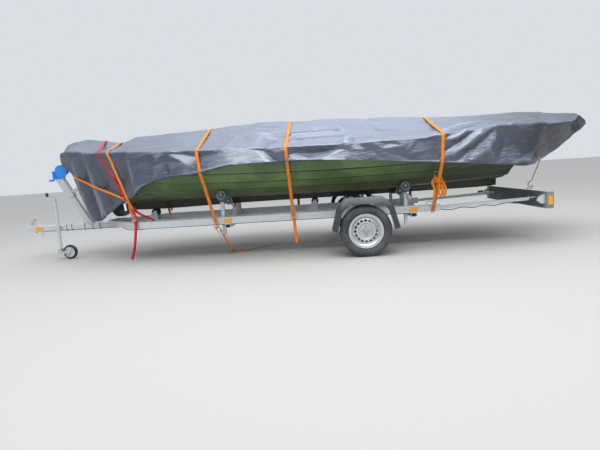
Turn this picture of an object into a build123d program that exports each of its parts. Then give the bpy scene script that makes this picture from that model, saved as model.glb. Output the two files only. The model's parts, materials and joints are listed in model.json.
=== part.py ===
from build123d import *
import math
import os

# A clinker motor boat under a tarpaulin, lashed to a single-axle road trailer that stands on its
# two road wheels and its jockey wheel. Millimetres, +X aft, +Y starboard, +Z up, floor at Z 0.
# The origin lies under the middle of the whole outline. Lengths that start at the axle are
# counted aft of it and turned into X by at().

os.makedirs("parts", exist_ok=True)

# Overall
NOSE_AHEAD = 4330          # coupling nose, ahead of the axle
TAIL_BEHIND = 2750         # end of the tarpaulin, behind the axle
AXLE_X = (NOSE_AHEAD - TAIL_BEHIND) / 2
SIDES = {"port": -1, "starboard": 1}
SEAT_GAP = 0.3             # between a piece and what it rests on
RUNNING = 0.05             # radial clearance of a wheel or roller on its pin

# Road wheels
TYRE_R = 273.5
TYRE_W = 157
TREAD_W = 118
TREAD_CROWN = 4
GROOVE_COUNT = 4
GROOVE_W = 8
GROOVE_D = 7
TYRE_WALL = 9
BEAD_W = 116
BEAD_SEAT_R = 165
FLANGE_R = 182
RIM_WALL = 5
WHEEL_Y = 900
DISC_FACE = 34             # outer face of the disc, outboard of the wheel's middle
DISC_CROWN = 14            # how far the pierced ring stands out of the disc
VENT_COUNT = 16
VENT_R = 10
VENT_RING_R = 112
BOLT_COUNT = 4
BOLT_RING_R = 50
BOLT_R = 6
HUB_R = 72
HUB_BORE_R = 30
HUB_CAP_L = 30

# Axle
AXLE_TUBE = 64
AXLE_TUBE_WALL = 5
AXLE_TUBE_AHEAD = 165      # tube centre ahead of the wheel centre
AXLE_TUBE_Z = 343
AXLE_TUBE_HALF = 690
ARM_W = 22
ARM_BOSS_R = 42
STUB_R = 15
AXLE_PLATE = 70

# Frame
BEAM_W = 66                # centre beam, from coupling to behind the axle
BEAM_H = 66
BEAM_Z = 377
BEAM_AHEAD = 4190
BEAM_BEHIND = 700
BEAM_WALL = 4
RAIL_W = 40
RAIL_H = 76
RAIL_Z = 392
RAIL_WALL = 3
RAIL_Y = 550
RAIL_BEND_AHEAD = 2600     # where the rails turn in towards the centre beam
RAIL_FRONT_AHEAD = 3190
RAIL_BEHIND = 872
RAIL_HOLE_R = 7
RAIL_HOLE_PITCH = 290
RAIL_HOLE_COUNT = 9
CROSS_W = 60
CROSS_H = 44
CROSS_WALL = 4
CROSS_HALF = 600
CROSS_BEHIND = {"front": -1530, "rear": 575}
PLATE_T = 8

# Mudguards
GUARD_W = 212
GUARD_T = 4
GUARD_LIP = 58
GUARD_TOP_Z = 346
# Bends of the arch, fore and aft of the axle and above it
GUARD_BENDS = ((350, 24), (292, 235), (205, GUARD_TOP_Z))
GUARD_BEND_R = 68
STAY_W = 40
STAY_T = 6

# Boat: the hull's half section runs over these plank edges. Columns: breadth and height as shares
# of the section's own, first amidships and then at the stem.
PLANKS = (
    # amidships     at the stem
    (0.000, 0.000, 0.00, 0.00),
    (0.235, 0.035, 0.15, 0.14),
    (0.475, 0.090, 0.29, 0.28),
    (0.670, 0.235, 0.43, 0.43),
    (0.815, 0.375, 0.58, 0.57),
    (0.920, 0.545, 0.72, 0.72),
    (0.975, 0.755, 0.86, 0.86),
    (1.000, 1.000, 1.00, 1.00),
)
# Stations from stem to transom. Columns: foot and sheer aft of the axle, height of the bottom,
# height of the sheer, half breadth, foot of the keel, share of the stem's section.
STATIONS = (
    (-3270, -3710, 660, 1330, 50, 600, 1.00),
    (-3020, -3300, 665, 1300, 335, 585, 0.85),
    (-2620, -2750, 670, 1265, 575, 572, 0.42),
    (-1950, -1970, 668, 1235, 755, 580, 0.06),
    (-1000, -1000, 655, 1200, 840, 590, 0.00),
    (0, 0, 648, 1180, 850, 590, 0.00),
    (950, 950, 662, 1200, 810, 595, 0.05),
    (1700, 1700, 690, 1230, 720, 610, 0.10),
)
HULL_T = 9
LAP = 8
KEEL_HALF = 20
KEEL_FOOT_HALF = 15
SHEER_FLANGE = 26
SHEER_T = 12
TRANSOM_T = 35

# Outboard motor, tilted up about its clamp
TILT = 81
PIVOT_BEHIND = 1800
PIVOT_Z = 1272
PIVOT_R = 10
LEG_DEPTH = 660            # from the pivot down to the propeller shaft
LEG_W = 52
LEG_L = 64
LEG_TOP = 220
ENGINE_W = 300
ENGINE_L = 260
ENGINE_H = 330
ENGINE_FORE = 200
GEARCASE_R = 34
GEARCASE_FORE = 75
GEARCASE_AFT = 88
VENT_PLATE_UP = 128        # anti-ventilation plate above the propeller shaft
VENT_PLATE_T = 8
SKEG_DROP = 120
PROP_R = 105
PROP_HUB_R = 26
PROP_HUB_L = 62
PROP_SHAFT_R = 8
PROP_GAP = 5
BLADE_PITCH = 62
BLADE_T = 4
BLADE_COUNT = 3
CLAMP_W = 130
CLAMP_T = 12
CLAMP_DROP = 150
CLAMP_JAW = 45

# Tarpaulin. Columns: station aft of the axle, ridge height, half breadth at the fold, fold
# height, half breadth at the hem, hem height.
COVER = (
    (-3755, 1330, 60, 1280, 52, 1250),
    (-3705, 1420, 130, 1345, 95, 1230),
    (-3640, 1458, 190, 1346, 125, 1140),
    (-3540, 1486, 250, 1345, 160, 1100),
    (-3460, 1495, 300, 1341, 180, 990),
    (-3430, 1498, 320, 1339, 190, 830),
    (-3350, 1504, 365, 1335, 220, 665),
    (-3260, 1496, 425, 1328, 280, 492),
    (-3140, 1480, 500, 1316, 330, 490),
    (-2980, 1445, 575, 1302, 390, 590),
    (-2900, 1440, 600, 1297, 430, 635),
    (-2750, 1497, 650, 1289, 500, 710),
    (-2520, 1506, 710, 1274, 640, 785),
    (-2410, 1509, 732, 1268, 715, 868),
    (-2250, 1513, 760, 1258, 758, 926),
    (-2080, 1521, 786, 1250, 786, 966),
    (-1780, 1537, 822.2, 1228.6, 822.2, 975),
    (-1620, 1547, 848, 1230, 848, 1005),
    (-1400, 1560, 868, 1225, 868, 1042),
    (-1170, 1582, 882, 1212, 882, 1050),
    (-760, 1558, 893, 1202, 893, 1050),
    (-280, 1557, 900, 1190, 900, 1028),
    (80, 1532, 903, 1192, 903, 1000),
    (570, 1507, 890, 1200, 890, 955),
    (930, 1482, 862, 1225, 862, 915),
    (1400, 1472, 815, 1275, 815, 865),
    (1690, 1470, 785, 1280, 790, 838),
    (1820, 1470, 745, 1275, 760, 850),
    (2050, 1463, 560, 1270, 590, 905),
    (2400, 1428, 330, 1290, 340, 1060),
    (2650, 1400, 140, 1310, 140, 1210),
    (2745, 1320, 35, 1290, 30, 1270),
)
COVER_T = 5
STRAP_W = 38
STRAP_T = 2.5
STRAP_BEHIND = {"front": -1740, "middle": -765, "rear": 820}
STRAP_CLEAR = 6            # between a strap and the folds of the cover

# Roller stands. Columns: half spacing, roller radius, distance of the post inside the roller.
POST_W = 40
POST_T = 4
POST_FOOT_Z = 262
ROLLER_W = 60
ROLLER_PIN_R = 9
ROLLER_HEAD_R = 14
ROLLER_HEAD_L = 9
OUTER_ROLLER_Y = 480
OUTER_ROLLER_R = 57
INNER_ROLLER_Y = 160
STAND_DROP = 75            # from an inner roller's pin down to its post
INNER_ROLLER_R = 47
CRADLE_BEHIND = {"front": -1590, "rear": 500}
KEEL_ROLLER_BEHIND = {"front": -2580, "middle": -530}
KEEL_ROLLER_R = 45
KEEL_ROLLER_WAIST_R = 36
KEEL_ROLLER_W = 90
KEEL_CHEEK_T = 6
KEEL_CHEEK_L = 150

# Coupling, jockey wheel and winch post
COUPLING_L = 235
COUPLING_H = 78
COUPLING_W = 92
COUPLING_NOSE_R = 40
BALL_R = 25.3
LEVER_W = 34
LEVER_RISE = 100
JOCKEY_AHEAD = 3870
JOCKEY_TUBE_R = 24
JOCKEY_BORE_R = 21
JOCKEY_TUBE_Z = (300, 780)
JOCKEY_INNER_TOP = 600
JOCKEY_WHEEL_R = 92.5
JOCKEY_WHEEL_W = 50
JOCKEY_TRAIL = 122
JOCKEY_PIN_R = 6
JOCKEY_SWIVEL_R = 9
FORK_T = 5
FORK_CLEAR = 5
FORK_TOP_Z = 140
FORK_FOOT_Z = 72
FORK_ARM_H = 34
SWIVEL_L = 70
CLAMP_BLOCK = 12
CRANK_ARM = 90
CRANK_TURN = 250             # of the jockey crank, from +X
POST_LEAN = 28
POST_STANDOFF = 283        # from the stem's face to the post, at the bow stop
WINCH_POST_L = 690
WINCH_POST_D = 70
WINCH_POST_B = 60
SLEEVE_L = 300
SLEEVE_T = 8
SHOE_L = 118
SHOE_H = 85
SHOE_T = 5
WINCH_OUT = 88             # the winch's shaft from the head of the post
WINCH_UP = 36
WINCH_DISC_R = 80
WINCH_DISC_T = 14
WINCH_DRUM_R = 30
FRAME_DROP = 24            # foot of the winch's frame below the head of the post
WINCH_CHEEK_T = 4
WINCH_CRANK = 110
WINCH_CRANK_OUT = 112      # the crank's shaft ahead of the reel's
STOP_ARM_W = 36
STOP_Z = 965
STOP_BLOCK = 50

# Tail: extension bars, lighting board, lamps, reflectors
BAR_W = 34
BAR_RISE = 2.2             # degrees
BAR_START_BEHIND = 640
BOARD_BEHIND = 1905
BOARD_HALF = 796
BOARD_Z = 377
BOARD_H = 174
BOARD_T = 24
LAMP_L = 210
LAMP_H = 130
LAMP_D = 46
PLATE_W = 520
PLATE_H = 112
PLATE_THICK = 2
REFLECTOR_L = 92
REFLECTOR_H = 44
REFLECTOR_T = 8
CHEEK_L = 72               # end cheeks of the board, fore and aft
CHEEK_T = 3


def at(behind):
    """X of a point that lies so far aft of the axle."""
    return AXLE_X + behind


def stem_x(z):
    """X of the stem's face at a height."""
    foot, sheer, z_foot, z_sheer = STATIONS[0][:4]
    return at(foot + (sheer - foot) * (z - z_foot) / (z_sheer - z_foot))


def band(points, thickness):
    """Outline of a strip that follows the points, its thickness to the left of their run."""
    inner = []
    for i, (u, v) in enumerate(points):
        runs = []
        if i > 0:
            runs.append((u - points[i - 1][0], v - points[i - 1][1]))
        if i < len(points) - 1:
            runs.append((points[i + 1][0] - u, points[i + 1][1] - v))
        normals = [(-dv / math.hypot(du, dv), du / math.hypot(du, dv)) for du, dv in runs]
        nu = sum(n[0] for n in normals) / len(normals)
        nv = sum(n[1] for n in normals) / len(normals)
        scale = thickness / (nu * nu + nv * nv)
        inner.append((u + nu * scale, v + nv * scale))
    return list(points) + inner[::-1]


def upright_plane(x, y, z, side):
    """Plane across a wheel or roller: local x radial, local y outboard along the axle."""
    return Plane(origin=(x, y, z), x_dir=(0, 0, 1), z_dir=(-side, 0, 0))


def save(piece, name):
    piece.part.label = name
    export_step(piece.part, f"parts/{name}.step")


# Hull

def plank_edges(height, half, share):
    """Plank edges of one half section, as (breadth, height) from the foot of the section."""
    edges = []
    for mid_y, mid_z, stem_y, stem_z in PLANKS:
        breadth = mid_y + (stem_y - mid_y) * share
        rise = mid_z + (stem_z - mid_z) * share
        edges.append((KEEL_HALF + (half - KEEL_HALF) * breadth, height * rise))
    edges[-1] = (half, height - SHEER_T)
    return edges


def half_outline(height, half, keel_foot, share):
    """Outer and inner points of one half section, foot to sheer."""
    edges = plank_edges(height, half, share)
    outer = [(KEEL_FOOT_HALF, keel_foot), edges[0]]
    inner = [(KEEL_HALF - HULL_T, HULL_T)]
    for j in range(1, len(edges)):
        y, z = edges[j]
        y0, z0 = edges[j - 1]
        length = math.hypot(y - y0, z - z0)
        normal = ((z - z0) / length, -(y - y0) / length)
        if j > 1:
            outer.append((y0 + normal[0] * LAP, z0 + normal[1] * LAP))
            inner.append((y0 - normal[0] * HULL_T, z0 - normal[1] * HULL_T))
        outer.append((y, z))
    outer.append((half + SHEER_FLANGE, height - SHEER_T))
    outer.append((half + SHEER_FLANGE, height))
    inner.append((half - HULL_T, height))
    return outer, inner


def station_plane(foot, sheer, z_foot, z_sheer):
    """Plane of a section, leaning forward with the stem. Local x starboard, local y up the section."""
    lean = Vector(sheer - foot, 0, z_sheer - z_foot).normalized()
    return Plane(origin=(at(foot), 0, z_foot), x_dir=(0, 1, 0), z_dir=Vector(0, 1, 0).cross(lean))


with BuildPart() as hull:
    for foot, sheer, z_foot, z_sheer, half, z_keel, share in STATIONS:
        slant = math.hypot(sheer - foot, z_sheer - z_foot)
        outer, inner = half_outline(slant, half, z_keel - z_foot, share)
        starboard = outer + inner[::-1]
        outline = starboard + [(-y, z) for y, z in inner] + [(-y, z) for y, z in outer[::-1]]
        with BuildSketch(station_plane(foot, sheer, z_foot, z_sheer)):
            with BuildLine():
                Polyline(*outline, close=True)
            make_face()
    loft()
    foot, sheer, z_foot, z_sheer, half, z_keel, share = STATIONS[-1]
    board = plank_edges(z_sheer - z_foot, half, share)
    board = [(y - HULL_T / 2, z + HULL_T / 2) for y, z in board[:-1]]
    board.append((half - HULL_T / 2, z_sheer - z_foot))
    with BuildSketch(station_plane(foot, sheer, z_foot, z_sheer)):
        with BuildLine():
            Polyline(*board, *[(-y, z) for y, z in board[::-1]], close=True)
        make_face()
    extrude(amount=-TRANSOM_T)
save(hull, "hull")


def hull_under(behind, side_y):
    """Lowest point of the hull's skin over a spot of the frame, with its outward normal."""
    hits = hull.part.find_intersection_points(Axis((at(behind), side_y, 0), (0, 0, 1)))
    point, normal = min(hits, key=lambda hit: hit[0].Z)
    return (point, normal if normal.Z < 0 else -normal)


# Outboard motor

motor = Plane(
    origin=(at(PIVOT_BEHIND), 0, PIVOT_Z),
    x_dir=(math.cos(math.radians(TILT)), 0, math.sin(math.radians(TILT))),
    z_dir=(-math.sin(math.radians(TILT)), 0, math.cos(math.radians(TILT))),
)
motor_across = Plane(origin=motor.origin, x_dir=motor.x_dir, z_dir=-motor.y_dir)
transom_x = at(STATIONS[-1][1])
transom_top = STATIONS[-1][3]

with BuildPart() as outboard_leg:
    with BuildSketch(motor.offset(-LEG_DEPTH + GEARCASE_R / 2)):
        SlotOverall(LEG_L, LEG_W)
    extrude(amount=LEG_DEPTH - GEARCASE_R / 2 + LEG_TOP)
    with BuildSketch(motor.offset(-LEG_DEPTH + VENT_PLATE_UP)):
        with Locations((GEARCASE_AFT - LEG_L, 0)):
            SlotOverall(GEARCASE_AFT + 2 * LEG_L, 2 * LEG_L)
    extrude(amount=VENT_PLATE_T)
    with BuildSketch(motor_across):
        with BuildLine():
            nose = (-GEARCASE_FORE, -LEG_DEPTH)
            shoulder = (-GEARCASE_FORE / 3, -LEG_DEPTH + GEARCASE_R)
            heel = (GEARCASE_AFT, -LEG_DEPTH + PROP_HUB_R)
            ThreePointArc(nose, (-GEARCASE_FORE * 0.78, -LEG_DEPTH + GEARCASE_R * 0.62), shoulder)
            Line(shoulder, heel)
            Polyline(heel, (GEARCASE_AFT, -LEG_DEPTH), nose)
        make_face()
    shaft_line = motor.origin - motor.z_dir * LEG_DEPTH
    revolve(axis=Axis(shaft_line, motor.x_dir))
    with BuildSketch(motor_across):
        with BuildLine():
            Polyline(
                (-GEARCASE_FORE / 2, -LEG_DEPTH),
                (0, -LEG_DEPTH - SKEG_DROP),
                (GEARCASE_R, -LEG_DEPTH - SKEG_DROP),
                (GEARCASE_AFT * 0.8, -LEG_DEPTH),
                close=True,
            )
        make_face()
    extrude(amount=VENT_PLATE_T / 2, both=True)
    with BuildSketch(Plane(origin=shaft_line + motor.x_dir * GEARCASE_AFT, z_dir=motor.x_dir)):
        Circle(PROP_SHAFT_R)
    extrude(amount=PROP_HUB_L)
    with BuildSketch(motor_across):
        Circle(PIVOT_R + RUNNING)
    extrude(amount=LEG_W, both=True, mode=Mode.SUBTRACT)
save(outboard_leg, "outboard_leg")

with BuildPart() as propeller:
    hub_start = shaft_line + motor.x_dir * (GEARCASE_AFT + PROP_GAP)
    with BuildSketch(Plane(origin=hub_start, z_dir=motor.x_dir)):
        Circle(PROP_HUB_R)
        Circle(PROP_SHAFT_R + RUNNING, mode=Mode.SUBTRACT)
    extrude(amount=PROP_HUB_L - PROP_GAP)
    blade_start = hub_start + motor.x_dir * (PROP_HUB_L / 2)
    for k in range(BLADE_COUNT):
        turn = 360 / BLADE_COUNT * k
        out = motor.y_dir.rotate(Axis((0, 0, 0), motor.x_dir), turn)
        pitch_line = motor.x_dir.rotate(Axis((0, 0, 0), out), BLADE_PITCH)
        root = blade_start + out * (PROP_HUB_R - 4)
        with BuildSketch(Plane(origin=root, x_dir=out, z_dir=pitch_line.cross(out))):
            with BuildLine():
                reach = PROP_R - PROP_HUB_R + 4
                Line((0, -PROP_HUB_L * 0.3), (0, PROP_HUB_L * 0.3))
                ThreePointArc((0, PROP_HUB_L * 0.3), (reach, PROP_HUB_L * 0.25), (0, -PROP_HUB_L * 0.3))
            make_face()
        extrude(amount=BLADE_T / 2, both=True)
save(propeller, "propeller")

with BuildPart() as outboard_engine:
    with BuildSketch(motor.offset(LEG_TOP)):
        with Locations((-ENGINE_FORE + ENGINE_L / 2, 0)):
            RectangleRounded(ENGINE_L, ENGINE_W, ENGINE_L / 4)
    extrude(amount=ENGINE_H)
save(outboard_engine, "outboard_engine")

with BuildPart() as outboard_clamp:
    inside = transom_x - TRANSOM_T - SEAT_GAP
    outside = transom_x + SEAT_GAP
    top = transom_top + SEAT_GAP
    with BuildSketch(Plane.XZ):
        with BuildLine():
            Polyline(
                (inside - CLAMP_JAW, top + CLAMP_T), (inside - CLAMP_JAW, top - CLAMP_DROP),
                (inside, top - CLAMP_DROP), (inside, top), (outside, top), (outside, top - CLAMP_DROP),
                (outside + CLAMP_JAW, top - CLAMP_DROP), (outside + CLAMP_JAW, top + CLAMP_T), close=True,
            )
        make_face()
    extrude(amount=CLAMP_W / 2, both=True)
    ear_y = LEG_W / 2 + SEAT_GAP
    with BuildSketch(Plane.XZ):
        with BuildLine():
            Polyline(
                (outside, top + CLAMP_T - 1), (outside, top - CLAMP_DROP / 2),
                (outside + CLAMP_JAW, top - CLAMP_DROP / 2),
                (at(PIVOT_BEHIND) + 2 * PIVOT_R, PIVOT_Z), (at(PIVOT_BEHIND), PIVOT_Z + 2 * PIVOT_R),
                (at(PIVOT_BEHIND) - 2 * PIVOT_R, PIVOT_Z), close=True,
            )
        make_face()
    extrude(amount=CLAMP_W / 2, both=True)
    with BuildSketch(motor.offset(-LEG_DEPTH)):
        Rectangle(LEG_L + 2 * PIVOT_R, 2 * ear_y)
    extrude(amount=LEG_DEPTH + LEG_TOP, mode=Mode.SUBTRACT)
    with BuildSketch(motor_across):
        Circle(PIVOT_R)
    extrude(amount=CLAMP_W / 2, both=True)
save(outboard_clamp, "outboard_clamp")


# Tarpaulin and its straps

def cover_row(behind):
    """Row of the cover between two stations, by proportion."""
    for low, high in zip(COVER, COVER[1:]):
        if low[0] <= behind <= high[0]:
            t = (behind - low[0]) / (high[0] - low[0])
            return [a + (b - a) * t for a, b in zip(low, high)]
    return list(COVER[-1])


with BuildPart() as tarpaulin:
    for behind, ridge_z, fold_y, fold_z, hem_y, hem_z in COVER:
        line = [(-hem_y, hem_z), (-fold_y, fold_z), (0, ridge_z), (fold_y, fold_z), (hem_y, hem_z)]
        with BuildSketch(Plane(origin=(at(behind), 0, 0), x_dir=(0, 1, 0), z_dir=(1, 0, 0))):
            with BuildLine():
                Polyline(*band(line, -COVER_T), close=True)
            make_face()
    loft(ruled=True)
save(tarpaulin, "tarpaulin")

rail_out = RAIL_Y + RAIL_W / 2
with BuildPart() as girth_straps:
    for behind in STRAP_BEHIND.values():
        _, ridge_z, fold_y, fold_z, hem_y, hem_z = cover_row(behind)
        out = STRAP_CLEAR
        half_line = [
            (rail_out + SEAT_GAP, RAIL_Z + 4), (rail_out + SEAT_GAP, RAIL_Z + RAIL_H),
            (hem_y + out, hem_z - 12), (fold_y + out, fold_z + out),
        ]
        line = [(-y, z) for y, z in half_line] + [(0, ridge_z + 2 * out)] + half_line[::-1]
        with BuildSketch(Plane(origin=(at(behind), 0, 0), x_dir=(0, 1, 0), z_dir=(1, 0, 0))):
            with BuildLine():
                Polyline(*band(line, STRAP_T), close=True)
            make_face()
        extrude(amount=STRAP_W / 2, both=True)
save(girth_straps, "girth_straps")


# Frame

with BuildPart() as centre_beam:
    length = BEAM_AHEAD + BEAM_BEHIND
    with BuildSketch(Plane(origin=(at(-BEAM_AHEAD), 0, BEAM_Z + BEAM_H / 2), x_dir=(0, 1, 0), z_dir=(1, 0, 0))):
        RectangleRounded(BEAM_W, BEAM_H, BEAM_WALL)
        Rectangle(BEAM_W - 2 * BEAM_WALL, BEAM_H - 2 * BEAM_WALL, mode=Mode.SUBTRACT)
    extrude(amount=length)
    hole_plane = Plane(origin=(at(-RAIL_BEND_AHEAD / 2), 0, BEAM_Z + BEAM_H / 2), x_dir=(1, 0, 0), z_dir=(0, -1, 0))
    with BuildSketch(hole_plane):
        with GridLocations(RAIL_HOLE_PITCH, 1, RAIL_HOLE_COUNT, 1):
            Circle(RAIL_HOLE_R)
    extrude(amount=BEAM_W, both=True, mode=Mode.SUBTRACT)
save(centre_beam, "centre_beam")

beam_side = BEAM_W / 2
for name, side in SIDES.items():
    with BuildPart() as side_rail:
        run = [
            (at(RAIL_BEHIND), side * RAIL_Y), (at(-RAIL_BEND_AHEAD), side * RAIL_Y),
            (at(-RAIL_FRONT_AHEAD), side * (beam_side + RAIL_W / 2)),
            (at(-RAIL_FRONT_AHEAD - RAIL_W), side * (beam_side - RAIL_W)),
        ]
        spread = side * RAIL_W / 2
        outer_run = [(x, y + spread) for x, y in run]
        with BuildSketch(Plane.XY.offset(RAIL_Z)):
            with BuildLine():
                Polyline(*band(outer_run, side * RAIL_W), close=True)
            make_face()
        extrude(amount=RAIL_H)
        inner_run = [(x, y - side * RAIL_WALL) for x, y in outer_run]
        inner_run[0] = (inner_run[0][0] + 1, inner_run[0][1])
        with BuildSketch(Plane.XY.offset(RAIL_Z + RAIL_WALL)):
            with BuildLine():
                Polyline(*band(inner_run, side * (RAIL_W - 2 * RAIL_WALL)), close=True)
            make_face()
        extrude(amount=RAIL_H - 2 * RAIL_WALL, mode=Mode.SUBTRACT)
        cut = Plane(origin=(0, side * beam_side, 0), z_dir=(0, side, 0))
        split(bisect_by=cut, keep=Keep.TOP)
    save(side_rail, f"side_rail_{name}")

with BuildPart() as cross_members:
    for behind in CROSS_BEHIND.values():
        z = RAIL_Z - CROSS_H / 2
        with BuildSketch(Plane(origin=(at(behind), 0, z), x_dir=(1, 0, 0), z_dir=(0, 1, 0))):
            Rectangle(CROSS_W, CROSS_H)
            Rectangle(CROSS_W - 2 * CROSS_WALL, CROSS_H - 2 * CROSS_WALL, mode=Mode.SUBTRACT)
        extrude(amount=CROSS_HALF, both=True)
        with BuildSketch(Plane.XY.offset(BEAM_Z)):
            with Locations((at(behind), 0)):
                Rectangle(CROSS_W, BEAM_W)
        extrude(amount=CROSS_H, mode=Mode.SUBTRACT)
save(cross_members, "cross_members")

with BuildPart() as junction_plates:
    with BuildSketch(Plane.XY.offset(BEAM_Z + BEAM_H)):
        with Locations((at(-RAIL_FRONT_AHEAD) + 90, 0)):
            Rectangle(140, BEAM_W)
    extrude(amount=RAIL_Z + RAIL_H - BEAM_Z - BEAM_H)
    with BuildSketch(Plane.XY.offset(RAIL_Z + RAIL_H)):
        with Locations((at(-RAIL_FRONT_AHEAD) + 90, 0)):
            RectangleRounded(140, 250, 12)
    extrude(amount=PLATE_T)
save(junction_plates, "junction_plates")


# Axle, wheels and mudguards

with BuildPart() as axle_beam:
    tube = Plane(origin=(at(-AXLE_TUBE_AHEAD), 0, AXLE_TUBE_Z), x_dir=(1, 0, 0), z_dir=(0, 1, 0))
    with BuildSketch(tube):
        RectangleRounded(AXLE_TUBE, AXLE_TUBE, 8)
        Rectangle(AXLE_TUBE - 2 * AXLE_TUBE_WALL, AXLE_TUBE - 2 * AXLE_TUBE_WALL, mode=Mode.SUBTRACT)
    extrude(amount=AXLE_TUBE_HALF, both=True)
    for side in SIDES.values():
        with BuildSketch(Plane.XY.offset(AXLE_TUBE_Z + AXLE_TUBE / 2)):
            with Locations((at(-AXLE_TUBE_AHEAD), side * RAIL_Y)):
                Rectangle(AXLE_PLATE + 90, AXLE_PLATE)
        extrude(amount=RAIL_Z - AXLE_TUBE_Z - AXLE_TUBE / 2)
save(axle_beam, "axle_beam")

with BuildPart() as swing_arms:
    for side in SIDES.values():
        face = Plane(origin=(0, side * (AXLE_TUBE_HALF + SEAT_GAP), 0), x_dir=(1, 0, 0), z_dir=(0, side, 0))
        boss = face.to_local_coords(Vector(at(-AXLE_TUBE_AHEAD), face.origin.Y, AXLE_TUBE_Z))
        stub = face.to_local_coords(Vector(at(0), face.origin.Y, TYRE_R))
        with BuildSketch(face):
            with Locations((boss.X, boss.Y)):
                Circle(ARM_BOSS_R)
            with Locations((stub.X, stub.Y)):
                Circle(ARM_BOSS_R * 0.8)
            with BuildLine():
                Line((boss.X, boss.Y), (stub.X, stub.Y))
            trace(line_width=ARM_BOSS_R * 1.3)
        extrude(amount=ARM_W)
        with BuildSketch(face):
            with Locations((stub.X, stub.Y)):
                Circle(STUB_R)
        extrude(amount=WHEEL_Y + DISC_FACE - AXLE_TUBE_HALF)
save(swing_arms, "swing_arms")

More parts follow.
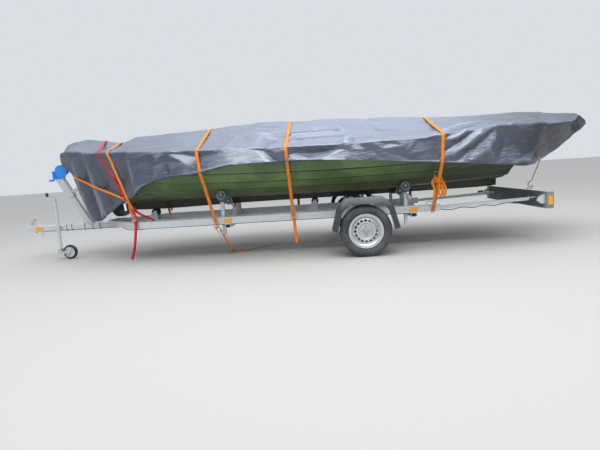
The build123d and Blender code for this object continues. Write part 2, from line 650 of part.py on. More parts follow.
arm_out = AXLE_TUBE_HALF + SEAT_GAP + ARM_W
half_bead = BEAD_W / 2
for name, side in SIDES.items():
    wheel = upright_plane(at(0), side * WHEEL_Y, TYRE_R, side)
    wheel_axis = Axis(wheel.origin, (0, 1, 0))
    face_plane = Plane(origin=(at(0), side * (WHEEL_Y + DISC_FACE), TYRE_R), x_dir=(1, 0, 0), z_dir=(0, side, 0))

    with BuildPart() as tyre:
        with BuildSketch(wheel):
            with BuildLine():
                half_w = TYRE_W / 2
                belly = (BEAD_SEAT_R + TYRE_R) / 2
                shoulder = TYRE_R - 16
                heel = half_bead - 3
                lip = FLANGE_R + 4
                for s in (-1, 1):
                    ThreePointArc((lip, s * heel), (belly, s * half_w), (shoulder, s * (half_w - 9)))
                    Line((shoulder, s * (half_w - 9)), (TYRE_R - TREAD_CROWN, s * TREAD_W / 2))
                    Polyline((lip, s * heel), (BEAD_SEAT_R, s * heel), (BEAD_SEAT_R, s * (heel - 16)))
                    Line((BEAD_SEAT_R, s * (heel - 16)), (lip, s * (heel - 16)))
                    ThreePointArc(
                        (lip, s * (heel - 16)), (belly, s * (half_w - TYRE_WALL)),
                        (shoulder, s * (TREAD_W / 2 - TYRE_WALL)),
                    )
                tread = [(TYRE_R - TREAD_CROWN, -TREAD_W / 2)]
                for k in range(GROOVE_COUNT):
                    middle = (k - (GROOVE_COUNT - 1) / 2) * TREAD_W / (GROOVE_COUNT + 1)
                    for depth, shift in ((0, -1), (GROOVE_D, -1), (GROOVE_D, 1), (0, 1)):
                        across = middle + shift * GROOVE_W / 2
                        crown = TREAD_CROWN * (2 * across / TREAD_W) ** 2
                        tread.append((TYRE_R - crown - depth, across))
                tread.append((TYRE_R - TREAD_CROWN, TREAD_W / 2))
                Polyline(*tread)
                Line((shoulder, TYRE_WALL - TREAD_W / 2), (shoulder, TREAD_W / 2 - TYRE_WALL))
            make_face()
        revolve(axis=wheel_axis)
    save(tyre, f"tyre_{name}")

    with BuildPart() as rim:
        barrel = [
            (FLANGE_R, -half_bead - 9), (FLANGE_R - 2, -half_bead - 1), (BEAD_SEAT_R, -half_bead + 1),
            (BEAD_SEAT_R, -half_bead + 26), (BEAD_SEAT_R - 22, -half_bead + 42),
            (BEAD_SEAT_R - 22, DISC_FACE - 6), (BEAD_SEAT_R, half_bead - 12),
            (BEAD_SEAT_R, half_bead - 1), (FLANGE_R - 2, half_bead + 1), (FLANGE_R, half_bead + 9),
        ]
        disc = [
            (BEAD_SEAT_R - 22, DISC_FACE - 24), (VENT_RING_R + 24, DISC_FACE + DISC_CROWN - 10),
            (VENT_RING_R, DISC_FACE + DISC_CROWN), (VENT_RING_R - 26, DISC_FACE + DISC_CROWN - 8),
            (HUB_R, DISC_FACE), (HUB_BORE_R, DISC_FACE),
        ]
        with BuildSketch(wheel):
            with BuildLine():
                Polyline(*band(barrel, RIM_WALL), close=True)
            make_face()
        revolve(axis=wheel_axis)
        with BuildSketch(wheel):
            with BuildLine():
                Polyline(*band(disc, RIM_WALL), close=True)
            make_face()
        revolve(axis=wheel_axis)
        with BuildSketch(face_plane.offset(-DISC_FACE)):
            with PolarLocations(VENT_RING_R, VENT_COUNT):
                Circle(VENT_R)
            with PolarLocations(BOLT_RING_R, BOLT_COUNT):
                Circle(BOLT_R + SEAT_GAP)
        extrude(amount=2 * DISC_FACE, mode=Mode.SUBTRACT)
    save(rim, f"rim_{name}")

    with BuildPart() as hub:
        disc_back = DISC_FACE - RIM_WALL
        with BuildSketch(wheel):
            with BuildLine():
                Polyline(
                    (0, arm_out + 4 - WHEEL_Y), (HUB_R + 30, arm_out + 4 - WHEEL_Y),
                    (HUB_R + 30, arm_out + 64 - WHEEL_Y), (HUB_R - 12, arm_out + 64 - WHEEL_Y),
                    (HUB_R - 12, disc_back - 8), (HUB_R, disc_back - 8), (HUB_R, disc_back),
                    (HUB_BORE_R - 1, disc_back), (HUB_BORE_R - 1, DISC_FACE + HUB_CAP_L - 6),
                    (HUB_BORE_R - 7, DISC_FACE + HUB_CAP_L), (0, DISC_FACE + HUB_CAP_L), close=True,
                )
            make_face()
        revolve(axis=wheel_axis)
        with BuildSketch(face_plane.offset(-DISC_FACE)):
            with PolarLocations(BOLT_RING_R, BOLT_COUNT):
                Circle(BOLT_R)
        extrude(amount=DISC_FACE)
        with BuildSketch(face_plane):
            with PolarLocations(BOLT_RING_R, BOLT_COUNT):
                RegularPolygon(BOLT_R + 4, 6)
        extrude(amount=10)
        bore_depth = WHEEL_Y + DISC_FACE - arm_out + 2
        with BuildSketch(Plane(origin=(at(0), side * arm_out, TYRE_R), x_dir=(1, 0, 0), z_dir=(0, side, 0))):
            Circle(STUB_R + RUNNING)
        extrude(amount=bore_depth, mode=Mode.SUBTRACT)
    save(hub, f"hub_{name}")

with BuildPart() as mudguards:
    for side in SIDES.values():
        knees = [(-x, z) for x, z in GUARD_BENDS] + list(GUARD_BENDS[::-1])
        inner_face = side * (WHEEL_Y - GUARD_W / 2)
        side_plane = Plane(origin=(at(0), inner_face, TYRE_R), x_dir=(1, 0, 0), z_dir=(0, -1, 0))
        for thick, start, width in ((GUARD_T, 0, GUARD_W), (GUARD_LIP, GUARD_W - GUARD_T, GUARD_T)):
            strip = band(knees, -thick)
            half = len(knees)
            with BuildSketch(side_plane.offset(-side * start)):
                with BuildLine():
                    FilletPolyline(*strip[:half], radius=GUARD_BEND_R)
                    FilletPolyline(*strip[half:], radius=GUARD_BEND_R - thick)
                    Line(strip[half - 1], strip[half])
                    Line(strip[-1], strip[0])
                make_face()
            extrude(amount=-side * width)
save(mudguards, "mudguards")

with BuildPart() as mudguard_stays:
    for side in SIDES.values():
        for along in (-STAY_W * 3, STAY_W * 3):
            under = TYRE_R + GUARD_TOP_Z - GUARD_T - SEAT_GAP
            stay = [
                (side * (rail_out + SEAT_GAP), RAIL_Z + 6), (side * (rail_out + SEAT_GAP), under),
                (side * (WHEEL_Y + GUARD_W / 2 - STAY_W), under),
            ]
            with BuildSketch(Plane(origin=(at(along), 0, 0), x_dir=(0, 1, 0), z_dir=(1, 0, 0))):
                with BuildLine():
                    Polyline(*band(stay, -side * STAY_T), close=True)
                make_face()
            extrude(amount=STAY_W / 2, both=True)
save(mudguard_stays, "mudguard_stays")


# Roller stands under the hull, with their rollers

def roller_seat(behind, side_y, radius):
    """Centre of a roller that bears on the hull from below, and the direction of its pin."""
    point, normal = hull_under(behind, side_y)
    centre = point + normal * (radius + SEAT_GAP + 0.7)
    side = math.copysign(1, side_y)
    pin = Vector(0, -normal.Z * side, normal.Y * side).normalized()
    return centre, pin


roller_rows = (
    # kind, place across, radius
    ("outer", OUTER_ROLLER_Y, OUTER_ROLLER_R),
    ("inner", INNER_ROLLER_Y, INNER_ROLLER_R),
)
joints = {}
for stand, behind in CRADLE_BEHIND.items():
    with BuildPart() as roller_stand:
        for kind, across, radius in roller_rows:
            for side in SIDES.values():
                centre, pin = roller_seat(behind, side * across, radius)
                head = centre - pin * (ROLLER_W / 2 + SEAT_GAP + POST_T)
                cheek = Plane(origin=head, x_dir=(1, 0, 0), z_dir=pin)
                down = -cheek.y_dir if cheek.y_dir.Z > 0 else cheek.y_dir
                if kind == "outer":
                    post_x = at(behind)
                    post_y = side * (RAIL_Y - RAIL_W / 2 - SEAT_GAP - POST_W / 2)
                    drop = (post_y - head.Y) / down.Y
                    foot = POST_FOOT_Z
                else:
                    post_x = at(CROSS_BEHIND[stand])
                    drop = STAND_DROP
                    post_y = head.Y + down.Y * drop
                    foot = RAIL_Z
                knuckle = head + down * drop + Vector(post_x - head.X, 0, 0)
                with BuildSketch(Plane.XY.offset(foot)):
                    with Locations((post_x, post_y)):
                        RectangleRounded(POST_W, POST_W, POST_T)
                        Rectangle(POST_W - 2 * POST_T, POST_W - 2 * POST_T, mode=Mode.SUBTRACT)
                extrude(amount=knuckle.Z - foot)
                with BuildSketch(Plane.XY.offset(knuckle.Z - POST_W)):
                    with Locations((post_x, post_y)):
                        RectangleRounded(POST_W, POST_W, POST_T)
                extrude(amount=POST_W)
                low = cheek.to_local_coords(knuckle)
                with BuildSketch(cheek):
                    with BuildLine():
                        Line((0, 0), (low.X, low.Y))
                    trace(line_width=2 * ROLLER_HEAD_R)
                    Circle(ROLLER_HEAD_R)
                    with Locations((low.X, low.Y)):
                        Circle(ROLLER_HEAD_R)
                extrude(amount=POST_T)
                with BuildSketch(cheek):
                    Circle(ROLLER_PIN_R)
                extrude(amount=POST_T + SEAT_GAP + ROLLER_W + SEAT_GAP)
                with BuildSketch(Plane(origin=centre + pin * (ROLLER_W / 2 + SEAT_GAP), x_dir=(1, 0, 0), z_dir=pin)):
                    Circle(ROLLER_HEAD_R)
                extrude(amount=ROLLER_HEAD_L)
    save(roller_stand, f"roller_stand_{stand}")
    for kind, across, radius in roller_rows:
        for name, side in SIDES.items():
            centre, pin = roller_seat(behind, side * across, radius)
            across_plane = Plane(origin=centre, x_dir=(1, 0, 0), z_dir=Vector(1, 0, 0).cross(pin))
            with BuildPart() as roller:
                half_w = ROLLER_W / 2
                dish = radius * 0.62
                with BuildSketch(across_plane):
                    with BuildLine():
                        bore = ROLLER_PIN_R + RUNNING
                        Polyline(
                            (bore, -half_w), (dish * 0.6, -half_w), (dish * 0.75, 8 - half_w),
                            (dish, 8 - half_w), (dish + 6, -half_w), (radius - 6, -half_w),
                        )
                        RadiusArc((radius - 6, -half_w), (radius, 6 - half_w), -6)
                        Line((radius, 6 - half_w), (radius, half_w - 6))
                        RadiusArc((radius, half_w - 6), (radius - 6, half_w), -6)
                        Polyline(
                            (radius - 6, half_w), (dish + 6, half_w), (dish, half_w - 8),
                            (dish * 0.75, half_w - 8), (dish * 0.6, half_w), (bore, half_w), (bore, -half_w),
                        )
                    make_face()
                revolve(axis=Axis(centre, pin))
            save(roller, f"{kind}_roller_{stand}_{name}")
            joints[f"{kind}_roller_{stand}_{name}"] = (centre, pin)


# Keel rollers on the centre beam, each between two cheeks

beam_top = BEAM_Z + BEAM_H
with BuildPart() as keel_brackets:
    for behind in KEEL_ROLLER_BEHIND.values():
        centre_z = hull_under(behind, 0)[0].Z - KEEL_ROLLER_WAIST_R - 1
        with BuildSketch(Plane.XY.offset(beam_top)):
            with Locations((at(behind) - KEEL_CHEEK_L / 4, 0)):
                Rectangle(KEEL_CHEEK_L, KEEL_ROLLER_W + 4 + 2 * KEEL_CHEEK_T)
        extrude(amount=PLATE_T / 2)
        for side in SIDES.values():
            cheek_y = side * (KEEL_ROLLER_W / 2 + 2)
            with BuildSketch(Plane(origin=(0, cheek_y, 0), x_dir=(1, 0, 0), z_dir=(0, -1, 0))):
                with BuildLine():
                    Polyline(
                        (at(behind) - KEEL_CHEEK_L * 0.75, beam_top), (at(behind) + KEEL_CHEEK_L / 4, beam_top),
                        (at(behind) + 22, centre_z + 18), (at(behind) - 12, centre_z + 18), close=True,
                    )
                make_face()
            extrude(amount=-side * KEEL_CHEEK_T)
        with BuildSketch(Plane(origin=(at(behind), 0, centre_z), x_dir=(1, 0, 0), z_dir=(0, 1, 0))):
            Circle(ROLLER_PIN_R)
        extrude(amount=KEEL_ROLLER_W / 2 + 2 + KEEL_CHEEK_T + ROLLER_HEAD_L, both=True)
save(keel_brackets, "keel_brackets")

for name, behind in KEEL_ROLLER_BEHIND.items():
    centre_z = hull_under(behind, 0)[0].Z - KEEL_ROLLER_WAIST_R - 1
    with BuildPart() as roller:
        roller_line = Plane(origin=(at(behind), 0, centre_z), x_dir=(0, 0, 1), z_dir=(-1, 0, 0))
        half_w = KEEL_ROLLER_W / 2
        with BuildSketch(roller_line):
            with BuildLine():
                bore = ROLLER_PIN_R + RUNNING
                Polyline((KEEL_ROLLER_R, half_w), (bore, half_w), (bore, -half_w), (KEEL_ROLLER_R, -half_w))
                Polyline(
                    (KEEL_ROLLER_R, -half_w), (KEEL_ROLLER_R, -half_w + 8), (KEEL_ROLLER_WAIST_R, -half_w + 20),
                    (KEEL_ROLLER_WAIST_R, half_w - 20), (KEEL_ROLLER_R, half_w - 8), (KEEL_ROLLER_R, half_w),
                )
            make_face()
        revolve(axis=Axis(roller_line.origin, (0, 1, 0)))
    save(roller, f"keel_roller_{name}")
    joints[f"keel_roller_{name}"] = (roller_line.origin, Vector(0, 1, 0))


# Coupling

nose_x = at(-NOSE_AHEAD)
ball_x = nose_x + COUPLING_NOSE_R
coupling_z = BEAM_Z - 6
with BuildPart() as coupling_head:
    with BuildSketch(Plane.XY.offset(coupling_z)):
        with BuildLine():
            back = nose_x + COUPLING_L
            Polyline(
                (ball_x, -COUPLING_NOSE_R), (back - 70, -COUPLING_W / 2), (back, -COUPLING_W / 2),
                (back, COUPLING_W / 2), (back - 70, COUPLING_W / 2), (ball_x, COUPLING_NOSE_R),
            )
            ThreePointArc((ball_x, COUPLING_NOSE_R), (nose_x, 0), (ball_x, -COUPLING_NOSE_R))
        make_face()
    extrude(amount=COUPLING_H)
    with BuildSketch(Plane(origin=(at(-BEAM_AHEAD), 0, BEAM_Z + BEAM_H / 2), x_dir=(0, 1, 0), z_dir=(1, 0, 0))):
        Rectangle(BEAM_W + SEAT_GAP, BEAM_H + SEAT_GAP)
    extrude(amount=COUPLING_L, mode=Mode.SUBTRACT)
    with Locations((ball_x, 0, coupling_z + BALL_R / 2)):
        Sphere(BALL_R, mode=Mode.SUBTRACT)
    with BuildSketch(Plane.XY.offset(coupling_z)):
        with Locations((ball_x, 0)):
            Circle(BALL_R)
    extrude(amount=BALL_R / 2, mode=Mode.SUBTRACT)
save(coupling_head, "coupling_head")

with BuildPart() as coupling_lever:
    lever_x = ball_x + 30
    lever_z = coupling_z + COUPLING_H
    with BuildSketch(Plane.XZ):
        with BuildLine():
            Polyline(
                (lever_x - 20, lever_z), (lever_x + 60, lever_z), (lever_x + 60, lever_z + 16),
                (lever_x + 18, lever_z + 26), (lever_x + 74, lever_z + LEVER_RISE),
                (lever_x + 62, lever_z + LEVER_RISE + 12), (lever_x - 20, lever_z + 26), close=True,
            )
        make_face()
    extrude(amount=LEVER_W / 2, both=True)
save(coupling_lever, "coupling_lever")


# Jockey wheel, beside the beam on the port side

jockey_y = -(beam_side + CLAMP_BLOCK + JOCKEY_TUBE_R)
jockey_x = at(-JOCKEY_AHEAD)
with BuildPart() as jockey_clamp:
    for z in (BEAM_Z + 4, BEAM_Z + BEAM_H - 22):
        with BuildSketch(Plane.XY.offset(z)):
            with Locations((jockey_x, (-beam_side + jockey_y) / 2)):
                Rectangle(2 * JOCKEY_TUBE_R, beam_side + abs(jockey_y) - 2 * beam_side)
            with Locations((jockey_x, jockey_y)):
                Circle(JOCKEY_TUBE_R + 7)
                Circle(JOCKEY_TUBE_R + SEAT_GAP, mode=Mode.SUBTRACT)
        extrude(amount=18)
    with BuildSketch(Plane(origin=(jockey_x, -beam_side, BEAM_Z + BEAM_H / 2), x_dir=(1, 0, 0), z_dir=(0, -1, 0))):
        Rectangle(3 * JOCKEY_TUBE_R, BEAM_H)
    extrude(amount=CLAMP_BLOCK / 2)
save(jockey_clamp, "jockey_clamp")

tube_foot, tube_top = JOCKEY_TUBE_Z
with BuildPart() as jockey_tube:
    with BuildSketch(Plane.XY.offset(tube_foot)):
        with Locations((jockey_x, jockey_y)):
            Circle(JOCKEY_TUBE_R)
            Circle(JOCKEY_BORE_R, mode=Mode.SUBTRACT)
    extrude(amount=tube_top - tube_foot)
    with BuildSketch(Plane.XY.offset(tube_top)):
        with Locations((jockey_x, jockey_y)):
            Circle(JOCKEY_TUBE_R + 3)
    extrude(amount=12)
    with BuildSketch(Plane.XY.offset(tube_top + 12)):
        with Locations((jockey_x, jockey_y)):
            Circle(9)
    extrude(amount=26)
    crank = Plane(origin=(jockey_x, jockey_y, tube_top + 38)).rotated((0, 0, CRANK_TURN))
    with BuildSketch(crank):
        with Locations((CRANK_ARM / 2, 0)):
            SlotOverall(CRANK_ARM + 20, 20)
    extrude(amount=7)
    with BuildSketch(crank.offset(7)):
        with Locations((CRANK_ARM, 0)):
            Circle(14)
    extrude(amount=46)
save(jockey_tube, "jockey_tube")

with BuildPart() as jockey_stem:
    stem_foot = FORK_TOP_Z + PROP_GAP
    with BuildSketch(Plane.XY.offset(stem_foot)):
        with Locations((jockey_x, jockey_y)):
            Circle(JOCKEY_BORE_R - RUNNING)
    extrude(amount=JOCKEY_INNER_TOP - stem_foot)
    with BuildSketch(Plane.XY.offset(stem_foot)):
        with Locations((jockey_x, jockey_y)):
            Circle(JOCKEY_SWIVEL_R + RUNNING)
    extrude(amount=SWIVEL_L, mode=Mode.SUBTRACT)
save(jockey_stem, "jockey_stem")

wheel_x = jockey_x + JOCKEY_TRAIL
with BuildPart() as jockey_fork:
    half_gap = JOCKEY_WHEEL_W / 2 + FORK_CLEAR
    block_l = JOCKEY_TRAIL - JOCKEY_WHEEL_R - FORK_CLEAR + JOCKEY_BORE_R
    with BuildSketch(Plane.XY.offset(FORK_FOOT_Z)):
        with Locations((jockey_x - JOCKEY_BORE_R + block_l / 2, jockey_y)):
            Rectangle(block_l, 2 * (half_gap + FORK_T))
    extrude(amount=FORK_TOP_Z - FORK_FOOT_Z)
    with BuildSketch(Plane.XY.offset(FORK_TOP_Z)):
        with Locations((jockey_x, jockey_y)):
            Circle(JOCKEY_SWIVEL_R)
    extrude(amount=SWIVEL_L - PROP_GAP)
    for side in SIDES.values():
        face = Plane(
            origin=(jockey_x, jockey_y + side * half_gap, JOCKEY_WHEEL_R), x_dir=(1, 0, 0), z_dir=(0, -1, 0),
        )
        with BuildSketch(face):
            with Locations(((JOCKEY_TRAIL - JOCKEY_BORE_R) / 2, 0)):
                SlotOverall(JOCKEY_TRAIL + JOCKEY_BORE_R + FORK_ARM_H, FORK_ARM_H)
        extrude(amount=-side * FORK_T)
    with BuildSketch(Plane(origin=(wheel_x, jockey_y, JOCKEY_WHEEL_R), x_dir=(1, 0, 0), z_dir=(0, 1, 0))):
        Circle(JOCKEY_PIN_R)
    extrude(amount=half_gap + FORK_T + 8, both=True)
save(jockey_fork, "jockey_fork")

with BuildPart() as jockey_wheel:
    with BuildSketch(Plane(origin=(wheel_x, jockey_y, JOCKEY_WHEEL_R), x_dir=(0, 0, 1), z_dir=(-1, 0, 0))):
        with BuildLine():
            half_w = JOCKEY_WHEEL_W / 2
            bore = JOCKEY_PIN_R + RUNNING
            Polyline(
                (bore, -half_w), (20, -half_w), (24, -12), (60, -12), (66, 2 - half_w), (80, 2 - half_w),
            )
            ThreePointArc((80, 2 - half_w), (JOCKEY_WHEEL_R, 0), (80, half_w - 2))
            Polyline((80, half_w - 2), (66, half_w - 2), (60, 12), (24, 12), (20, half_w), (bore, half_w), (bore, -half_w))
        make_face()
    revolve(axis=Axis((wheel_x, jockey_y, JOCKEY_WHEEL_R), (0, 1, 0)))
save(jockey_wheel, "jockey_wheel")


# Winch post, winch and bow stop

lean = math.radians(POST_LEAN)
post_foot_z = beam_top + PLATE_T
post_foot_x = stem_x(STOP_Z) - POST_STANDOFF + (STOP_Z - post_foot_z) * math.tan(lean)
post_frame = Plane(
    origin=(post_foot_x, 0, post_foot_z),
    x_dir=(math.cos(lean), 0, math.sin(lean)), z_dir=(-math.sin(lean), 0, math.cos(lean)),
)
with BuildPart() as winch_post:
    with BuildSketch(post_frame.offset(-60)):
        RectangleRounded(WINCH_POST_D, WINCH_POST_B, 6)
        Rectangle(WINCH_POST_D - 8, WINCH_POST_B - 8, mode=Mode.SUBTRACT)
    extrude(amount=WINCH_POST_L + 60)
    with BuildSketch(post_frame.offset(WINCH_POST_L - SLEEVE_L)):
        Rectangle(WINCH_POST_D + 2 * SLEEVE_T, WINCH_POST_B + 2 * SLEEVE_T)
        Rectangle(WINCH_POST_D - 2, WINCH_POST_B - 2, mode=Mode.SUBTRACT)
    extrude(amount=SLEEVE_L)
    with BuildSketch(Plane.XY.offset(post_foot_z)):
        with Locations((post_foot_x, 0)):
            Rectangle(4 * WINCH_POST_D, 4 * WINCH_POST_D)
    extrude(amount=-4 * WINCH_POST_D, mode=Mode.SUBTRACT)
    with BuildSketch(Plane.XY.offset(beam_top)):
        with Locations((post_foot_x, 0)):
            Rectangle(2 * WINCH_POST_D, BEAM_W)
    extrude(amount=PLATE_T)
    for side in SIDES.values():
        cheek = Plane(
            origin=(post_foot_x, side * WINCH_POST_B / 2, post_foot_z), x_dir=(1, 0, 0), z_dir=(0, -1, 0),
        )
        with BuildSketch(cheek):
            with BuildLine():
                head_x = -SHOE_H * math.tan(lean)
                Polyline(
                    (-SHOE_L / 2, 0), (SHOE_L / 2, 0), (head_x + WINCH_POST_D / 2, SHOE_H),
                    (-SHOE_L / 2, SHOE_H), close=True,
                )
            make_face()
        extrude(amount=-side * SHOE_T)
save(winch_post, "winch_post")

shaft = post_frame.from_local_coords(Vector(WINCH_OUT, 0, WINCH_POST_L + WINCH_UP))
winch_face = Plane(origin=shaft, x_dir=(1, 0, 0), z_dir=(0, -1, 0))
sleeve_half = WINCH_POST_B / 2 + SLEEVE_T
with BuildPart() as winch:
    for side in SIDES.values():
        cheek = winch_face.offset(-side * sleeve_half)
        with BuildSketch(cheek):
            Circle(WINCH_DRUM_R + 16)
            with BuildLine():
                low = post_frame.from_local_coords(Vector(0, 0, WINCH_POST_L - FRAME_DROP)) - shaft
                Polyline(
                    (low.X - WINCH_CRANK_OUT / 2, low.Z), (low.X + WINCH_DRUM_R, low.Z),
                    (WINCH_DRUM_R + 12, 0), (-WINCH_CRANK_OUT, 0), close=True,
                )
            make_face()
        extrude(amount=-side * WINCH_CHEEK_T)
    with BuildSketch(winch_face):
        Circle(WINCH_DRUM_R)
    extrude(amount=sleeve_half + 1, both=True)
    with BuildSketch(winch_face.offset(sleeve_half + WINCH_CHEEK_T)):
        Circle(WINCH_DISC_R)
    extrude(amount=WINCH_DISC_T)
save(winch, "winch")

with BuildPart() as winch_handle:
    crank_face = winch_face.offset(sleeve_half + WINCH_CHEEK_T + SEAT_GAP)
    with BuildSketch(crank_face):
        with Locations((-WINCH_CRANK_OUT + 12, 0)):
            Circle(8)
    extrude(amount=WINCH_DISC_T + 4)
    arm = crank_face.offset(WINCH_DISC_T + 4)
    with BuildSketch(arm):
        with Locations((-WINCH_CRANK_OUT + 12, -WINCH_CRANK / 2)):
            SlotOverall(WINCH_CRANK + 20, 20, rotation=90)
    extrude(amount=6)
    with BuildSketch(arm.offset(6)):
        with Locations((-WINCH_CRANK_OUT + 12, -WINCH_CRANK)):
            Circle(12)
    extrude(amount=80)
save(winch_handle, "winch_handle")


rake = math.atan2(STATIONS[0][0] - STATIONS[0][1], STATIONS[0][3] - STATIONS[0][2])
stop_plane = Plane(
    origin=(stem_x(STOP_Z) - SEAT_GAP, 0, STOP_Z),
    x_dir=(math.cos(rake), 0, math.sin(rake)), z_dir=(-math.sin(rake), 0, math.cos(rake)),
)
with BuildPart() as bow_stop:
    with BuildSketch(stop_plane.offset(-STOP_BLOCK / 2)):
        with Locations((-STOP_BLOCK / 2, 0)):
            RectangleRounded(STOP_BLOCK, STOP_BLOCK * 1.6, 10)
    extrude(amount=STOP_BLOCK)
save(bow_stop, "bow_stop")

with BuildPart() as bow_stop_arm:
    block_back = stop_plane.from_local_coords(Vector(-STOP_BLOCK - SEAT_GAP, 0, 0))
    near = post_frame.to_local_coords(block_back)
    arm_z = near.Z
    start = post_frame.from_local_coords(Vector(WINCH_POST_D / 2 + SLEEVE_T, 0, arm_z))
    with BuildSketch(Plane(origin=start, x_dir=(0, 1, 0), z_dir=post_frame.x_dir)):
        Rectangle(STOP_ARM_W, STOP_ARM_W)
    extrude(amount=near.X - WINCH_POST_D / 2 - SLEEVE_T)
    with BuildSketch(stop_plane.offset(-STOP_BLOCK)):
        with Locations((-STOP_BLOCK, 0)):
            Rectangle(2 * STOP_BLOCK, 2 * STOP_BLOCK)
    extrude(amount=2 * STOP_BLOCK, mode=Mode.SUBTRACT)
save(bow_stop_arm, "bow_stop_arm")


# Tail: bars, board, lamps, plate and reflectors

rise = math.radians(BAR_RISE)
with BuildPart() as tail_bars:
    for side in SIDES.values():
        start = Plane(
            origin=(at(RAIL_BEHIND), side * RAIL_Y, RAIL_Z + RAIL_H / 2 + 2),
            x_dir=(0, 1, 0), z_dir=(math.cos(rise), 0, math.sin(rise)),
        )
        reach = (BOARD_BEHIND - SEAT_GAP - RAIL_BEHIND) / math.cos(rise)
        with BuildSketch(start.offset(BAR_START_BEHIND - RAIL_BEHIND)):
            Rectangle(RAIL_W - 2 * RAIL_WALL, BAR_W)
            Rectangle(RAIL_W - 2 * RAIL_WALL - 6, BAR_W - 6, mode=Mode.SUBTRACT)
        extrude(amount=reach + RAIL_BEHIND - BAR_START_BEHIND)
    with BuildSketch(Plane(origin=(at(BOARD_BEHIND), 0, BOARD_Z), x_dir=(0, 1, 0), z_dir=(1, 0, 0))):
        Rectangle(2 * BOARD_HALF, 4 * BOARD_H)
    extrude(amount=4 * BAR_W, mode=Mode.SUBTRACT)
save(tail_bars, "tail_bars")

board_face = Plane(
    origin=(at(BOARD_BEHIND), 0, BOARD_Z + BOARD_H / 2), x_dir=(0, 1, 0), z_dir=(1, 0, 0),
)
with BuildPart() as tail_board:
    with BuildSketch(board_face):
        RectangleRounded(2 * BOARD_HALF, BOARD_H, 8)
    extrude(amount=BOARD_T)
    for side in SIDES.values():
        with BuildSketch(Plane.XY.offset(BOARD_Z)):
            with Locations((at(BOARD_BEHIND) + CHEEK_L / 2, side * (BOARD_HALF + CHEEK_T / 2))):
                Rectangle(CHEEK_L, CHEEK_T)
        extrude(amount=BOARD_H)
save(tail_board, "tail_board")

with BuildPart() as tail_lamps:
    with BuildSketch(board_face.offset(BOARD_T)):
        lamp_y = BOARD_HALF - SEAT_GAP - LAMP_L / 2
        with Locations((-lamp_y, 0), (lamp_y, 0)):
            RectangleRounded(LAMP_L, LAMP_H, 12)
    extrude(amount=LAMP_D)
save(tail_lamps, "tail_lamps")

with BuildPart() as number_plate:
    with BuildSketch(board_face.offset(BOARD_T)):
        RectangleRounded(PLATE_W, PLATE_H, 8)
    extrude(amount=PLATE_THICK)
save(number_plate, "number_plate")

with BuildPart() as side_reflectors:
    cheek_x = at(BOARD_BEHIND) + CHEEK_L / 2
    places = [(at(behind), rail_out, RAIL_Z + RAIL_H / 2, 0) for behind in CROSS_BEHIND.values()]
    places.append((nose_x + COUPLING_L - REFLECTOR_L / 2, COUPLING_W / 2 + SEAT_GAP, coupling_z + COUPLING_H / 2, 0))
    places.append((cheek_x, BOARD_HALF + CHEEK_T, BOARD_Z + BOARD_H / 2, 90))
    for side in SIDES.values():
        for x, y, z, turn in places:
            with BuildSketch(Plane(origin=(x, side * y, z), x_dir=(1, 0, 0), z_dir=(0, side, 0))):
                with Locations(Rotation(0, 0, turn)):
                    RectangleRounded(REFLECTOR_L, REFLECTOR_H, REFLECTOR_T)
            extrude(amount=REFLECTOR_T)
save(side_reflectors, "side_reflectors")

for name, (centre, axis) in joints.items():
    print(name, [round(v, 2) for v in centre], [round(v, 5) for v in axis])
print("prop", [round(v, 2) for v in shaft_line], [round(v, 5) for v in motor.x_dir])
print("jockey", jockey_x, jockey_y, wheel_x)
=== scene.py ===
import json
import math

import bmesh
import bpy
import numpy as np
from mathutils import Matrix, Vector
from mathutils.bvhtree import BVHTree
from mathutils.geometry import delaunay_2d_cdt

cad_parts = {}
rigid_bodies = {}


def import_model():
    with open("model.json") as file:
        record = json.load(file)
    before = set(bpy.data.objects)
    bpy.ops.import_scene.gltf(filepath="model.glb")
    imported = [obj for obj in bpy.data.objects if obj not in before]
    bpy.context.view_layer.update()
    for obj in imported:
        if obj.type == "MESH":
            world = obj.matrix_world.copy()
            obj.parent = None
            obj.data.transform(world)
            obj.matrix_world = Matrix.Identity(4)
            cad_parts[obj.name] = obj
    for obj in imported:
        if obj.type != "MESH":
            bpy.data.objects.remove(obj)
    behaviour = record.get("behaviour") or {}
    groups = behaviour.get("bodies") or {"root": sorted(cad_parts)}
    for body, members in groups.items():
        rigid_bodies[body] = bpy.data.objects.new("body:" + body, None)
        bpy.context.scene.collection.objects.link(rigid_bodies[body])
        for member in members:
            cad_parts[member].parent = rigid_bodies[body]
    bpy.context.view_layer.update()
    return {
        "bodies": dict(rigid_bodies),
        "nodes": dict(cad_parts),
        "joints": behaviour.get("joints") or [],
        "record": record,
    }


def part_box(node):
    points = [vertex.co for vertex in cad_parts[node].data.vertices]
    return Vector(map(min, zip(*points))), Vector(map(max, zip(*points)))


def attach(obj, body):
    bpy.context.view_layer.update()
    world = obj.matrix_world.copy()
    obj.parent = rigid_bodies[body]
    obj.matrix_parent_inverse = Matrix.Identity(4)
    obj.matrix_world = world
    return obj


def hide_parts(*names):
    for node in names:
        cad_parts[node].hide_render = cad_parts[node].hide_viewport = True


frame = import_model()
nodes = frame["nodes"]
scene = bpy.context.scene

# Camera, less than a metre above the floor on the port side, a little ahead of the axle, looking
# slightly down and turned a little towards the bow, as the photograph was taken.

